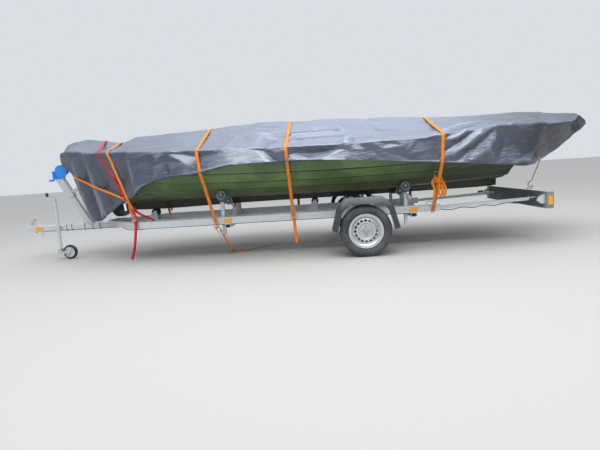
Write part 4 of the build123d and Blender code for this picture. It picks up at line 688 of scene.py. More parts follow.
cloth_tree = tree_of(cover)
STRAP_WIDTH, BOW_WIDTH, STRAP_LIFT = 0.036, 0.028, 0.0035
RAIL_Y, RAIL_FOOT_Z = -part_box("side_rail_port")[0][1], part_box("side_rail_port")[0][2]
KNOT, BOW_TIP = Vector((-1.880, 0.592, 0.737)), Vector((-2.835, 0, 1.125))
# Columns: stations at the ridge, at the gunwale and at the foot, half breadth and height at the
# gunwale, half breadth and height of the foot, material.
OVER = {
    "girth_strap_front": (-0.985, -0.955, -0.873, 0.88, 1.20, RAIL_Y, RAIL_FOOT_Z, orange_webbing),
    "girth_strap_middle": (0.022, 0.005, 0.020, 0.88, 1.20, RAIL_Y, RAIL_FOOT_Z, orange_webbing),
    "girth_strap_rear": (1.640, 1.622, 1.578, 0.88, 1.20, RAIL_Y, RAIL_FOOT_Z, orange_webbing),
    "bow_strap_red": (-2.344, -2.160, KNOT.x, 0.60, 1.29, KNOT.y, KNOT.z, red_webbing),
    "bow_strap_orange": (-2.148, -2.030, -1.790, 0.60, 1.29, 0.574, 0.500, orange_webbing),
}


def girth_line(at_ridge, at_fold, at_foot, fold_y, fold_z, foot_y, foot_z):
    """The tight line of a strap, from its starboard foot over the cover to the port one."""
    met = {(side * foot_y, foot_z): at_foot for side in (-1, 1)}
    for step in range(-60, 61):
        lean = math.radians(step * 1.9)
        out = Vector((0, math.sin(lean), math.cos(lean)))
        station = at_fold
        for _ in range(3):
            hit = cloth_tree.ray_cast(Vector((station, 0, 0.95)) + out * 3, -out, 3)[0]
            if hit is None:
                break
            if hit.z > fold_z - 0.05:
                station = at_fold + (at_ridge - at_fold) * (1 - min(abs(hit.y) / fold_y, 1))
            else:
                station = at_foot + (at_fold - at_foot) * (hit.z - foot_z) / (fold_z - foot_z)
        if hit is not None and hit.z > foot_z:
            met[(hit.y + out.y * STRAP_LIFT, hit.z + out.z * STRAP_LIFT)] = station
    points = sorted(met)
    loop = tight(points)[:-1] + tight(points[::-1])[:-1]
    start = loop.index((foot_y, foot_z))
    loop = loop[start:] + loop[:start]
    return stepped([Vector((met[p], *p)) for p in loop[: loop.index((-foot_y, foot_z)) + 1]])


def bow_line():
    """The tight line of the strap round the bow, from the port knot to the starboard one."""
    points = []
    for side in (-1, 1):
        points.append((side * KNOT.y, KNOT.x))
        for share in np.linspace(0.02, 1.04, 40):
            goal = KNOT.lerp(BOW_TIP, share)
            hit = cloth_tree.ray_cast(Vector((goal.x, side * 2, goal.z)), Vector((0, -side, 0)))[0]
            if hit is not None and hit.y * side > 0:
                points.append((side * min(abs(hit.y) + STRAP_LIFT, KNOT.y - 0.002), goal.x))
    rise = (BOW_TIP.z - KNOT.z) / (BOW_TIP.x - KNOT.x)
    bent = tight(sorted(points))
    return stepped([Vector((along, y, KNOT.z + (along - KNOT.x) * rise)) for y, along in bent])


for name, (*places, finish) in OVER.items():
    line = girth_line(*places)
    webbing(name, line, turned_out(line, (0, 0, 0.9), 0), STRAP_WIDTH if "girth" in name else BOW_WIDTH, finish)
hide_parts("girth_straps")
line = bow_line()
webbing("bow_strap_forward", line, turned_out(line, (KNOT.x, 0, 0), 2), BOW_WIDTH, orange_webbing)
for side, name in ((-1, "port"), (1, "starboard")):
    line = stepped([Vector((KNOT.x, side * KNOT.y, KNOT.z)), Vector((-1.815, side * 0.575, 0.400))])
    webbing(f"bow_strap_foot_{name}", line, turned_out(line, (0, 0, 0.9), 0), 0.030, orange_webbing)

# Columns: name, points, the outward direction at both ends, width, material.
PORT, UP, FLOOR_GAP = (0, -1, 0), (0, 0, 1), 0.003
TAILS = (
    ("red_tail", (
        (-1.870, -0.600, 0.720), (-1.800, -0.596, 0.525), (-1.816, -0.600, 0.378), (-1.863, -0.604, 0.140),
        (-1.895, -0.604, 0.045),
    ), PORT, (0.5, -0.85, 0), 0.030, red_webbing),
    ("red_cross_end", (
        (-1.850, -0.588, 0.690), (-1.791, -0.560, 0.590), (-1.700, -0.520, 0.520), (-1.640, -0.470, 0.474),
    ), PORT, (0, -0.6, 0.8), 0.028, red_webbing),
    ("front_tail", (
        (-0.830, -0.590, 0.330), (-0.785, -0.560, 0.220), (-0.765, -0.420, 0.080), (-0.790, -0.240, 0.018),
        (-0.801, -0.113, 0.009), (-0.640, -0.226, 0.009), (-0.500, -0.068, 0.009), (-0.287, 0.100, 0.009),
    ), PORT, UP, 0.025, orange_webbing),
    ("middle_tail", (
        (0.018, -0.606, 0.475), (0.028, -0.612, 0.330), (0.031, -0.610, 0.213), (0.040, -0.606, 0.126),
    ), PORT, (0.3, -0.95, 0), 0.034, orange_webbing),
    ("rear_tail", (
        (1.572, -0.742, 0.780), (1.534, -0.748, 0.735), (1.542, -0.744, 0.690), (1.562, -0.736, 0.640),
        (1.556, -0.710, 0.550), (1.574, -0.650, 0.450),
    ), PORT, PORT, 0.026, orange_webbing),
    ("rear_loop_middle", (
        (1.598, -0.744, 0.780), (1.606, -0.750, 0.680), (1.606, -0.742, 0.590), (1.622, -0.738, 0.568),
        (1.636, -0.740, 0.610), (1.628, -0.744, 0.700), (1.608, -0.742, 0.775),
    ), PORT, PORT, 0.022, orange_webbing),
    ("rear_loop_aft", (
        (1.612, -0.750, 0.775), (1.652, -0.758, 0.710), (1.672, -0.752, 0.615), (1.658, -0.744, 0.572),
        (1.646, -0.748, 0.640), (1.630, -0.748, 0.740),
    ), PORT, PORT, 0.022, orange_webbing),
    ("rear_wrap", (
        (1.548, -0.752, 0.768), (1.592, -0.770, 0.756), (1.640, -0.760, 0.762),
    ), PORT, PORT, 0.036, orange_webbing),
    ("rear_wrap_low", (
        (1.552, -0.756, 0.728), (1.590, -0.768, 0.738), (1.630, -0.760, 0.722),
    ), PORT, PORT, 0.030, orange_webbing),
)
for name, points, first, last, width, finish in TAILS:
    line = [Vector((p.x, p.y, max(p.z, FLOOR_GAP))) for p in smooth_line(points, 0.02)]
    webbing(name, line, turning(line, first, last), width, finish)

# Strap fittings: ratchets of pressed and plated steel with their wound webbing, the hooks under
# the rails, and the hook and tag at the bow.


def plate(mesh, outline, frame, low, high):
    """Adds to a bmesh a flat piece: an outline in two axes of a frame, from low to high on the third."""
    face = mesh.faces.new([mesh.verts.new(frame @ Vector((u, v, low))) for u, v in outline])
    made = bmesh.ops.extrude_face_region(mesh, geom=[face])["geom"]
    moved = [part for part in made if isinstance(part, bmesh.types.BMVert)]
    bmesh.ops.translate(mesh, verts=moved, vec=frame.to_3x3() @ Vector((0, 0, high - low)))


def bar(mesh, line, radius, sides=10):
    """Adds to a bmesh a round bar along a line of points, its ends domed."""
    path = [Vector(point) for point in line]
    heads = (path[1] - path[0]).normalized(), (path[-1] - path[-2]).normalized()
    path = [path[0] - heads[0] * radius * 0.4, *path, path[-1] + heads[1] * radius * 0.4]
    turn = heads[0].to_track_quat("Z", "Y")
    sections = []
    for i, point in enumerate(path):
        run = (path[min(i + 1, len(path) - 1)] - path[max(i - 1, 0)]).normalized()
        turn = (turn @ Vector((0, 0, 1))).rotation_difference(run) @ turn
        wide = radius * (0.6 if i in (0, len(path) - 1) else 1)
        angles = [math.tau * k / sides for k in range(sides)]
        sections.append([point + turn @ Vector((math.cos(a) * wide, math.sin(a) * wide, 0)) for a in angles])
    rows = swept(mesh, sections, closed=True)
    bmesh.ops.contextual_create(mesh, geom=rows[0])
    bmesh.ops.contextual_create(mesh, geom=rows[-1])


def rod(name, line, radius, sides, material):
    """Makes a piece of the fixed body from one round bar."""
    mesh = bmesh.new()
    bar(mesh, line, radius, sides)
    new_piece(name, closed(mesh), FIXED, material)


def axes(at, first, second):
    """A frame at a point, its first two axes along given directions."""
    u = Vector(first).normalized()
    w = u.cross(Vector(second)).normalized()
    return Matrix.Translation(at) @ Matrix((u, w.cross(u), w)).transposed().to_4x4()


def closed(mesh):
    """Turns all faces of a bmesh outwards."""
    bmesh.ops.recalc_face_normals(mesh, faces=mesh.faces)
    return mesh


bright = Paint("bright_zinc")
haze = bright.noise(9.0, 5.0, 0.6)
bright.finish(
    Base_Color=bright.mix(bright.between(haze, 0.35, 0.7), (0.60, 0.60, 0.57), (0.72, 0.73, 0.72)),
    Metallic=0.6, Roughness=0.26 + haze * 0.25, Normal=bright.bump(bright.noise(90.0, 3.0), 0.0004, 0.4),
)

CHEEK = (
    (-0.062, -0.003), (-0.036, 0.012), (-0.006, 0.026), (0.024, 0.020), (0.062, -0.003), (0.040, -0.008),
    (-0.040, -0.008),
)
ARM = ((-0.016, 0.010), (0.004, 0.030), (0.080, 0.040), (0.096, 0.036), (0.096, 0.028), (0.020, 0.014))
# Columns: place along the strap and out from it, radius, half length.
RODS = (
    (-0.052, 0.000, 0.004, 0.025), (0.052, 0.000, 0.004, 0.025), (0.090, 0.033, 0.006, 0.024),
    (0.000, 0.010, 0.006, 0.026),
)
TEETH, TOOTH_TIP, TOOTH_FOOT, SPOOL_OUT = 12, 0.021, 0.016, 0.010
PLATE_T, CHEEK_X, ARM_X, WHEEL_X = 0.002, 0.023, 0.018, 0.0205


def ratchet(name, middle, down, out):
    """A ratchet at the middle of a strap: cheeks, toothed wheels, handle, spool and cross rods."""
    frame = axes(middle, down, out)
    mesh = bmesh.new()
    teeth = []
    for i in range(2 * TEETH):
        reach = TOOTH_FOOT if i % 2 else TOOTH_TIP
        lean = math.pi * i / TEETH
        teeth.append((math.cos(lean) * reach, SPOOL_OUT + math.sin(lean) * reach))
    for side in (-1, 1):
        for outline, x in ((CHEEK, CHEEK_X), (ARM, ARM_X), (teeth, WHEEL_X)):
            plate(mesh, outline, frame, side * x - PLATE_T / 2, side * x + PLATE_T / 2)
    for u, v, radius, reach in RODS:
        bar(mesh, [frame @ Vector((u, v, -reach)), frame @ Vector((u, v, reach))], radius)
    new_piece(f"{name}_ratchet", closed(mesh), FIXED, bright.material, smooth=False)
    turns = []
    for lean in np.linspace(0, 12, 44):
        reach = 0.007 + lean * 0.0007
        turns.append(frame @ Vector((math.cos(lean) * reach, SPOOL_OUT + math.sin(lean) * reach, 0)))
    hub = frame @ Vector((0, SPOOL_OUT, 0))
    webbing(f"{name}_wound_webbing", turns, [(p - hub).normalized() for p in turns], 0.030, orange_webbing)


ratchet("front", (-0.862, -0.600, 0.366), (0.55, 0.05, -0.83), PORT)
ratchet("middle", (0.019, -0.598, 0.516), (0.02, 0.03, -1), (0, -1, -0.1))
ratchet("rear", (1.583, -0.722, 0.785), (-0.1, 0.35, -0.93), (0, -0.95, -0.3))
ratchet("bow", (-1.838, -0.566, 0.580), (0.25, -0.1, -0.96), (0, -1, 0.05))

HOOK_TOP, HOOK_FOOT, WIRE_R = 0.430, 0.384, 0.0035
mesh = bmesh.new()
for station in [row[2] for name, row in OVER.items() if name != "bow_strap_red"]:
    for side in (-1, 1):
        y_out, y_in = side * (RAIL_Y + 0.006), side * (RAIL_Y - 0.040 + 0.006)
        bent = [(y_out, HOOK_TOP), (y_out, 0.395), (y_out - side * 0.004, HOOK_FOOT), (y_in, HOOK_FOOT)]
        for wire_x in (station - 0.011, station + 0.011):
            bar(mesh, smooth_line([(wire_x, *p) for p in bent], 0.008), WIRE_R, 8)
        bar(mesh, [(station + end, y_out, HOOK_TOP) for end in (-0.014, 0.014)], WIRE_R, 8)
new_piece("strap_hooks", closed(mesh), FIXED, bright.material)

white = Paint("white_moulding")
white_dirt = white.patches(14.0, 5.0, 0.6, 0.5, 0.8)
white.finish(
    Base_Color=white.mix(white_dirt, (0.78, 0.78, 0.76), (0.50, 0.49, 0.45)), Roughness=0.35 + white_dirt * 0.2,
)
TAG = (
    (-0.042, -0.009), (-0.036, -0.013), (0.040, -0.013), (0.044, -0.009), (0.044, 0.009), (0.040, 0.013),
    (-0.036, 0.013), (-0.042, 0.009),
)
mesh = bmesh.new()
plate(mesh, TAG, axes((-1.905, -0.606, 0.660), (0.1, 0, -1), (1, 0, 0.1)), -0.0008, 0.0008)
new_piece("strap_tag", closed(mesh), FIXED, white.material, smooth=False)
BOW_HOOK = (
    (-1.895, -0.600, 0.758), (-1.876, -0.606, 0.744), (-1.870, -0.608, 0.720), (-1.884, -0.606, 0.704),
    (-1.900, -0.603, 0.716),
)
rod("bow_hook", smooth_line(BOW_HOOK, 0.006), 0.004, 8, bright.material)

# Trailer frame: hot-dip galvanised steel box beams, plates, posts and brackets, pale and mottled,
# with patches of white rust and road dirt and a little red rust.

zinc = Paint("galvanised_steel")
spangle = zinc.node("ShaderNodeTexVoronoi", {}, {"Vector": zinc.place, "Scale": 55.0}, "Color")
flake = zinc.part("X", spangle)
mottle = zinc.noise(7.0, 6.0, 0.62)
bloom = zinc.patches(3.1, 6.0, 0.66, 0.50, 0.72)
road = zinc.patches(14.0, 5.0, 0.65, 0.55, 0.78)
rust = zinc.patches(6.3, 7.0, 0.7, 0.70, 0.76)
clean = zinc.mix(flake * 0.45 + mottle * 0.4, (0.60, 0.64, 0.66), (0.78, 0.82, 0.84))
aged = zinc.mix(bloom * 0.5, clean, (0.72, 0.74, 0.74))
dirty = zinc.mix(road * 0.30, aged, (0.25, 0.23, 0.19))
zinc.finish(
    Base_Color=zinc.mix(rust * 0.6, dirty, (0.24, 0.10, 0.04)),
    Metallic=0.35 - bloom * 0.18 - road * 0.1 - rust * 0.05,
    Roughness=0.36 + mottle * 0.2 + bloom * 0.15,
    Normal=zinc.bump(mottle + flake * 0.15, 0.0015, 0.5),
)
finish_nodes(
    zinc.material, "centre_beam", "side_rail_port", "side_rail_starboard", "cross_members", "junction_plates",
    "axle_beam", "swing_arms", "mudguard_stays", "roller_stand_front", "roller_stand_rear", "keel_brackets",
    "coupling_head", "jockey_clamp", "jockey_tube", "jockey_stem", "winch_post", "bow_stop_arm", "tail_bars",
)

finish_nodes(bright.material, "coupling_lever", "jockey_fork")

# Small fittings: the wiring and its ties, the crank's grip, bolts and nuts, the drawbar's safety
# loop, hoops and brackets at the rear stand, the tail board's clamps and knobs, and the red line
# with its white hook that holds the cover astern.

plastic = Paint("black_plastic")
plastic_wear = plastic.noise(30.0, 4.0, 0.6)
plastic.finish(
    Base_Color=plastic.mix(plastic_wear, (0.014, 0.014, 0.015), (0.045, 0.045, 0.046)),
    Roughness=0.42 + plastic_wear * 0.2,
)
BEAM_LOW, BEAM_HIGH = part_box("centre_beam")
TIE_R, CABLE_R, SAG = 0.0024, 0.0042, 0.016
TIES = (-2.986, -2.919, -2.743, -2.637, -2.542)
GRIP_X, GRIP_Y, GRIP_ENDS, GRIP_R = -3.111, -0.154, (0.829, 0.866), 0.017

mesh = bmesh.new()
half_y, low_z, high_z = BEAM_HIGH[1] + TIE_R, BEAM_LOW[2] - 2 * CABLE_R - TIE_R, BEAM_HIGH[2] + TIE_R
corners = ((-half_y, low_z), (half_y, low_z), (half_y, high_z), (-half_y, high_z), (-half_y, low_z))
for station in TIES:
    bar(mesh, [(station, *corner) for corner in corners], TIE_R, 8)
    bar(mesh, [(station, -half_y, high_z - 0.004), (station, -half_y - 0.010, high_z - 0.014)], TIE_R, 8)
new_piece("cable_ties", closed(mesh), FIXED, plastic.material)
rod("crank_grip", [(GRIP_X, GRIP_Y, end) for end in GRIP_ENDS], GRIP_R, 18, plastic.material)

tail_low, tail_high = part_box("tail_bars")
under_beam = BEAM_LOW[2] - CABLE_R
route = [(-3.430, 0.0, 0.362), (-3.380, -0.010, under_beam)]
route += [(station, -0.014, under_beam) for station in np.arange(-3.25, -2.45, 0.2)]
route += [(-2.400, -0.020, under_beam), (-2.250, -0.120, under_beam + 0.008), (-1.830, -0.540, under_beam + 0.010)]
route += [(station, -RAIL_Y + 0.020, RAIL_FOOT_Z - CABLE_R) for station in np.arange(-1.70, 1.60, 0.3)]
for i, station in enumerate(np.arange(1.66, 2.62, 0.12)):
    rise = (tail_high[2] - tail_low[2] - 0.034) * (station - tail_low[0]) / (tail_high[0] - tail_low[0])
    route.append((station, tail_low[1] + 0.006, tail_low[2] + rise - CABLE_R - (SAG if i % 2 else 0)))
rod("wiring", smooth_line(route, 0.04), CABLE_R, 8, plastic.material)


def polygon(sides, radius):
    """Corners of a regular polygon round the origin."""
    angles = [math.tau * k / sides for k in range(sides)]
    return [(math.cos(a) * radius, math.sin(a) * radius) for a in angles]


def bolt(mesh, at, out, size=0.007):
    """Adds to a bmesh a washer, a six-sided nut and the end of its bolt, standing on a face."""
    frame = axes(at, Vector(out).orthogonal(), Vector(out).cross(Vector(out).orthogonal()))
    plate(mesh, polygon(16, size * 1.4), frame, 0, size * 0.25)
    plate(mesh, polygon(6, size), frame, size * 0.25, size * 1.1)
    bar(mesh, [frame @ Vector((0, 0, size)), frame @ Vector((0, 0, size * 1.7))], size * 0.5, 8)


STANDS = ("side_rail_port", "side_rail_starboard", "roller_stand_front", "roller_stand_rear")
# Columns: nodes that may carry the bolt, station, the other place along the face, direction out.
BOLTS = [(STANDS, station, 0.430, (0, side, 0)) for station in (-0.815, -0.725, 1.280, 1.370) for side in (-1, 1)]
BOLTS += [(("winch_post",), station, 0.462, (0, side, 0)) for station in (-2.700, -2.655) for side in (-1, 1)]
BOLTS += [(("junction_plates",), station, y, (0, 0, 1)) for station in (-2.350, -2.270) for y in (-0.085, 0.085)]
mesh = bmesh.new()
for carriers, station, other, out in BOLTS:
    out = Vector(out)
    start = Vector((station, other, 2)) if out.z else Vector((station, out.y * 2, other))
    hits = [tree_of(nodes[name]).ray_cast(start, -out)[0] for name in carriers]
    hits = [hit for hit in hits if hit is not None and (out.z or hit.y * out.y > 0)]
    if hits:
        bolt(mesh, max(hits, key=lambda hit: hit.dot(out)), out)
new_piece("frame_bolts", closed(mesh), FIXED, bright.material, smooth=False)


def standing(y):
    """A frame whose outlines stand upright along the boat, at a place across it."""
    return Matrix.Translation((0, y, 0)) @ Matrix.Rotation(math.radians(90), 4, "X")


mesh = bmesh.new()
LOOP = ((-3.345, 0.380), (-3.350, 0.330), (-3.342, 0.302), (-3.326, 0.300), (-3.320, 0.330), (-3.326, 0.380))
rail_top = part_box("side_rail_port")[1][2]
HOOP_FOOT = rail_top - 0.004
HOOP = ((1.508, HOOP_FOOT), (1.512, 0.490), (1.522, 0.500), (1.573, 0.500), (1.582, 0.490), (1.586, HOOP_FOOT))
BRACKET = ((1.306, 0.607), (1.318, 0.612), (1.364, 0.556), (1.354, 0.540), (1.306, 0.540))
bar(mesh, smooth_line([(along, -0.012, up) for along, up in LOOP], 0.01), WIRE_R, 8)
for side in (-1, 1):
    bar(mesh, smooth_line([(along, side * 0.550, up) for along, up in HOOP], 0.01), 0.005, 8)
    face = side * (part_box("roller_stand_rear")[1][1] + 0.001)
    plate(mesh, BRACKET, standing(face), min(side, 0) * 0.004, max(side, 0) * 0.004)
new_piece("frame_loops", closed(mesh), FIXED, zinc.material)

CLAMP = ((2.612, 0.470), (2.650, 0.512), (2.698, 0.524), (2.712, 0.506), (2.712, 0.446), (2.700, 0.432), (2.660, 0.428))
mesh, knobs = bmesh.new(), bmesh.new()
for side in (-1, 1):
    plate(mesh, CLAMP, standing(side * 0.745), -0.016, 0.016)
    bar(mesh, [(2.640, side * 0.567, 0.478), (2.652, side * 0.735, 0.478)], 0.009)
    bar(knobs, [(along, side * 0.745, up) for along, up in ((2.548, 0.478), (2.560, 0.480), (2.612, 0.486))], 0.013, 14)
new_piece("board_clamps", closed(mesh), FIXED, zinc.material, smooth=False)
new_piece("board_knobs", closed(knobs), FIXED, plastic.material)

red_cord = Paint("red_line")
twist = red_cord.maths("SINE", (red_cord.part("Z") + red_cord.part("X") * 0.4) * 900.0)
red_cord.finish(
    Base_Color=red_cord.mix(twist * 0.3 + 0.4, (0.55, 0.020, 0.020), (0.30, 0.010, 0.012)),
    Roughness=0.7, Normal=red_cord.bump(twist, 0.0008, 0.6),
)
stern_line = stepped([Vector((2.915, -0.250, 0.925)), Vector((2.800, -0.250, 0.640))])
rod("stern_line", stern_line, 0.0045, 8, red_cord.material)
STERN_HOOK = (
    (2.800, -0.250, 0.645), (2.775, -0.250, 0.622), (2.768, -0.248, 0.596), (2.790, -0.246, 0.580),
    (2.816, -0.244, 0.592), (2.822, -0.242, 0.570), (2.800, -0.240, 0.558), (2.760, -0.238, 0.559),
)
rod("stern_hook", smooth_line(STERN_HOOK, 0.008), 0.010, 10, white.material)

# Road wheels: silver steel rims with sixteen holes, painted shade round the holes, in a groove by
# the hub and on the inner barrel, cast hubs, and tyres with four grooves, dusty grey from standing.

WHEEL_AT, HOLES, HOLE_RING = (0.790, 0.2735), 16, 0.112
silver = Paint("silver_rim")
grime = silver.patches(6.0, 6.0, 0.65, 0.45, 0.75)
# Painted shade on the inner barrel of the rim, where it shows through the holes.
inside = silver.between(silver.maths("ABSOLUTE", silver.part("Y")), 0.918, 0.905)
off_x, off_z = silver.part("X") - WHEEL_AT[0], silver.part("Z") - WHEEL_AT[1]
from_hub = silver.maths("SQRT", off_x * off_x + off_z * off_z)
turns = silver.maths("COSINE", silver.maths("ARCTAN2", off_z, off_x) * HOLES)
from_ring = from_hub - HOLE_RING
from_hole = from_ring * from_ring + (turns * -1.0 + 1.0) * (2 * HOLE_RING**2 / HOLES**2)
# Painted shade round each hole and in the groove by the hub.
painted_hole_shade = silver.between(from_hole, 0.0150**2, 0.0115**2)
painted_groove_shade = silver.between(silver.maths("ABSOLUTE", from_hub - 0.073), 0.007, 0.002)
painted_rim_shade = silver.maths("MAXIMUM", inside * 0.9, silver.maths("MAXIMUM", painted_hole_shade * 0.92, painted_groove_shade * 0.30))
steel = silver.mix(grime * 0.35, (0.62, 0.64, 0.66), (0.30, 0.29, 0.27))
silver.finish(
    Base_Color=silver.mix(painted_rim_shade, steel, (0.03, 0.03, 0.03)),
    Metallic=0.55 - grime * 0.3, Roughness=0.32 + grime * 0.3,
)
iron = Paint("hub_iron")
scale = iron.noise(22.0, 5.0, 0.65)
cap = iron.between(iron.attribute("radius"), 0.062, 0.058)
cast = iron.mix(iron.between(scale, 0.4, 0.7), (0.035, 0.035, 0.037), (0.050, 0.038, 0.030))
iron.finish(
    Base_Color=iron.mix(cap, cast, (0.42, 0.44, 0.46)),
    Metallic=0.3 + cap * 0.3, Roughness=0.45 + scale * 0.3, Normal=iron.bump(scale, 0.001, 0.5),
)


def mark_radius(name):
    """Gives each vertex of a node that turns its distance from the node's axis."""
    joint = next(joint for joint in frame["joints"] if frame["bodies"][joint["child"]] is nodes[name].parent)
    axis, at = Vector(joint["axis"]).normalized(), Vector(joint["pos_m"])
    layer = nodes[name].data.attributes.new("radius", "FLOAT", "POINT")
    for vertex in nodes[name].data.vertices:
        layer.data[vertex.index].value = (vertex.co - at).cross(axis).length


mark_radius("hub_port")
mark_radius("hub_starboard")
finish_nodes(silver.material, "rim_port", "rim_starboard")
finish_nodes(iron.material, "hub_port", "hub_starboard")

tread_rubber = Paint("tyre_rubber")
dusting = tread_rubber.patches(7.0, 6.0, 0.62, 0.35, 0.75)
tread_rubber.finish(
    Base_Color=tread_rubber.mix(dusting, (0.050, 0.051, 0.058), (0.125, 0.125, 0.135)),
    Roughness=0.72 + dusting * 0.15, Normal=tread_rubber.bump(tread_rubber.noise(70.0, 4.0), 0.0008, 0.4),
)
finish_nodes(tread_rubber.material, "tyre_port", "tyre_starboard")

# Mudguards: half-octagons of black moulded plastic, paler grey towards the top.

guard = Paint("weathered_guard")
paler_towards_top = guard.between(guard.part("Z") + guard.noise(5.0, 5.0, 0.6) * 0.10, 0.55, 0.72)
guard.finish(
    Base_Color=guard.mix(paler_towards_top, (0.046, 0.047, 0.056), (0.270, 0.280, 0.310)),
    Roughness=0.42 + guard.noise(20.0, 4.0) * 0.3, Normal=guard.bump(guard.noise(150.0, 3.0), 0.0006, 0.5),
)
finish_nodes(guard.material, "mudguards")

# Side rollers, moulded in blue-grey polymer with a paler ring on the face, black rubber for the
# keel rollers and the bow stop, and the jockey wheel with its black tread and pale disc.

polymer = Paint("roller_polymer")
wear = polymer.patches(18.0, 5.0, 0.6, 0.4, 0.75)
off_axis = polymer.attribute("radius")
pin = polymer.between(off_axis, 0.013, 0.011)
ring = polymer.between(off_axis, 0.034, 0.037) * polymer.between(off_axis, 0.054, 0.051)
tone = polymer.mix(wear, (0.13, 0.155, 0.185), (0.21, 0.24, 0.275))
tone = polymer.mix(ring * 0.8, tone, (0.38, 0.43, 0.48))
polymer.finish(
    Base_Color=polymer.mix(pin, tone, (0.66, 0.67, 0.66)), Metallic=pin * 0.6,
    Roughness=0.48 + wear * 0.2 - pin * 0.2, Normal=polymer.bump(polymer.noise(110.0, 3.0), 0.0005, 0.5),
)
black_rubber = Paint("black_rubber")
bloomed = black_rubber.patches(9.0, 5.0, 0.6, 0.4, 0.8)
black_rubber.finish(
    Base_Color=black_rubber.mix(bloomed, (0.016, 0.016, 0.017), (0.055, 0.054, 0.052)),
    Roughness=0.62 + bloomed * 0.2, Normal=black_rubber.bump(black_rubber.noise(95.0, 3.0), 0.0006, 0.5),
)
nose_wheel = Paint("jockey_wheel_finish")
disc = nose_wheel.between(nose_wheel.attribute("radius"), 0.069, 0.065)
marks = nose_wheel.patches(24.0, 5.0, 0.6, 0.45, 0.75)
rubber = nose_wheel.mix(marks, (0.020, 0.020, 0.021), (0.060, 0.058, 0.055))
nose_wheel.finish(
    Base_Color=nose_wheel.mix(disc, rubber, nose_wheel.mix(marks, (0.70, 0.72, 0.75), (0.42, 0.42, 0.42))),
    Metallic=disc * 0.5, Roughness=0.62 - disc * 0.28 + marks * 0.15,
)
side_rollers = [name for name in nodes if "_roller_" in name and not name.startswith("keel")]
for name in (*side_rollers, "jockey_wheel"):
    mark_radius(name)
finish_nodes(polymer.material, *side_rollers)
finish_nodes(black_rubber.material, "keel_roller_front", "keel_roller_middle", "bow_stop")
finish_nodes(nose_wheel.material, "jockey_wheel")

# Winch: a pressed steel reel in bright blue paint on the head of the post.

blue = Paint("winch_blue")
scratches = blue.patches(45.0, 4.0, 0.6, 0.66, 0.70)
blue.finish(
    Base_Color=blue.mix(scratches, (0.040, 0.28, 0.86), (0.45, 0.46, 0.48)),
    Roughness=0.30 + blue.noise(15.0) * 0.2, Metallic=scratches * 0.8, Coat_Weight=0.4,
)
finish_nodes(blue.material, "winch", "winch_handle")

# Tail: a board of grey-green painted panel with lamps at both ends, a blank plate between them
# and amber reflectors here and along the frame.

panel = Paint("painted_panel")
algae = panel.patches(4.0, 6.0, 0.65, 0.4, 0.75)
board = panel.mix(algae, (0.115, 0.130, 0.128), (0.080, 0.092, 0.084))
board_end = panel.between(panel.maths("ABSOLUTE", panel.part("Y")), 0.70, 0.74)
panel.finish(
    Base_Color=panel.mix(board_end, board, (0.24, 0.27, 0.28)), Roughness=0.55 + algae * 0.25,
    Normal=panel.bump(panel.noise(25.0, 4.0, 0.6, panel.stretched((1, 0.2, 1))), 0.0012, 0.5),
)
lens = Paint("lamp_lens")
ribbing = lens.maths("SINE", lens.part("Y") * 900.0)
lens.finish(
    Base_Color=lens.mix(lens.noise(8.0) * 0.4, (0.42, 0.012, 0.010), (0.25, 0.010, 0.008)),
    Roughness=0.18, Normal=lens.bump(ribbing, 0.0006, 0.6), Coat_Weight=0.6,
)
blank = Paint("blank_plate")
plate_dirt = blank.patches(11.0, 5.0, 0.6, 0.5, 0.8)
blank.finish(
    Base_Color=blank.mix(plate_dirt, (0.72, 0.72, 0.69), (0.62, 0.61, 0.57)), Roughness=0.32 + plate_dirt * 0.3,
)
amber = Paint("amber_reflector")
cells = amber.node("ShaderNodeTexVoronoi", {}, {"Vector": amber.place, "Scale": 420.0}, "Distance")
amber.finish(
    Base_Color=amber.mix(amber.between(cells, 0.2, 0.7) * 0.5, (0.98, 0.43, 0.003), (0.88, 0.29, 0.002)),
    Roughness=0.16 + cells * 0.1, Coat_Weight=0.8, Normal=amber.bump(cells, 0.0006, 0.5),
)
finish_nodes(panel.material, "tail_board")
finish_nodes(lens.material, "tail_lamps")
finish_nodes(blank.material, "number_plate")
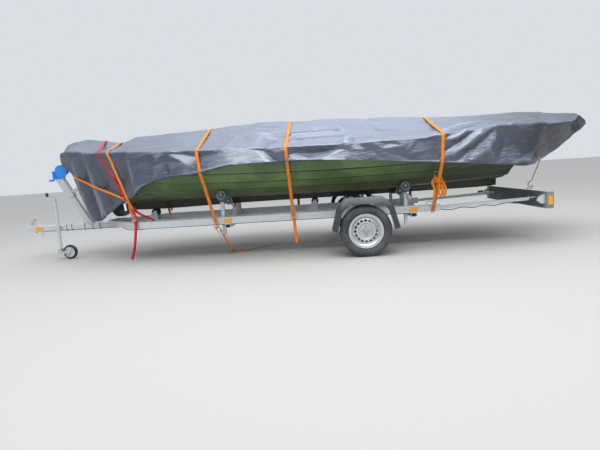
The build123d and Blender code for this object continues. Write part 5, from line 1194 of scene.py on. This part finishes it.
finish_nodes(amber.material, "side_reflectors")

# Floor, backdrop and light: a plain pale floor under a bright even sky, with one large soft
# lamp overhead.

FLOOR_HALF, LAMP_AT, LAMP_LEAN, LAMP_SIZE, LAMP_POWER = 60, (0.5, -2.5, 6.5), 22, 7.0, 500.0
floor_paint = Paint("floor")
floor_paint.finish(Base_Color=(0.44, 0.43, 0.41), Roughness=0.9)
mesh = bmesh.new()
bmesh.ops.create_grid(mesh, x_segments=1, y_segments=1, size=FLOOR_HALF)
data = bpy.data.meshes.new("floor")
mesh.to_mesh(data)
mesh.free()
floor = bpy.data.objects.new("floor", data)
data.materials.append(floor_paint.material)
scene.collection.objects.link(floor)

world = bpy.data.worlds.new("sky")
scene.world = world
world.use_nodes = True
sky = world.node_tree
upwards = sky.nodes.new("ShaderNodeSeparateXYZ")
sky.links.new(sky.nodes.new("ShaderNodeTexCoord").outputs["Generated"], upwards.inputs[0])
ramp = sky.nodes.new("ShaderNodeValToRGB")
ramp.color_ramp.elements[0].position, ramp.color_ramp.elements[0].color = 0.20, (0.24, 0.26, 0.28, 1)
ramp.color_ramp.elements[1].position, ramp.color_ramp.elements[1].color = 0.72, (1.25, 1.30, 1.38, 1)
sky.links.new(upwards.outputs["Z"], ramp.inputs["Fac"])
seen = sky.nodes.new("ShaderNodeLightPath")
pale = sky.nodes.new("ShaderNodeMix")
pale.data_type = "RGBA"
pale.inputs[7].default_value = (0.70, 0.73, 0.77, 1)
sky.links.new(seen.outputs["Is Camera Ray"], pale.inputs["Factor"])
sky.links.new(ramp.outputs["Color"], pale.inputs[6])
sky.links.new(pale.outputs[2], sky.nodes["Background"].inputs["Color"])
lamp_data = bpy.data.lights.new("lamp", "AREA")
lamp_data.size, lamp_data.energy = LAMP_SIZE, LAMP_POWER
lamp = bpy.data.objects.new("lamp", lamp_data)
lamp.location = LAMP_AT
lamp.rotation_euler = (math.radians(LAMP_LEAN), 0, 0)
scene.collection.objects.link(lamp)
scene.view_settings.view_transform = "Standard"
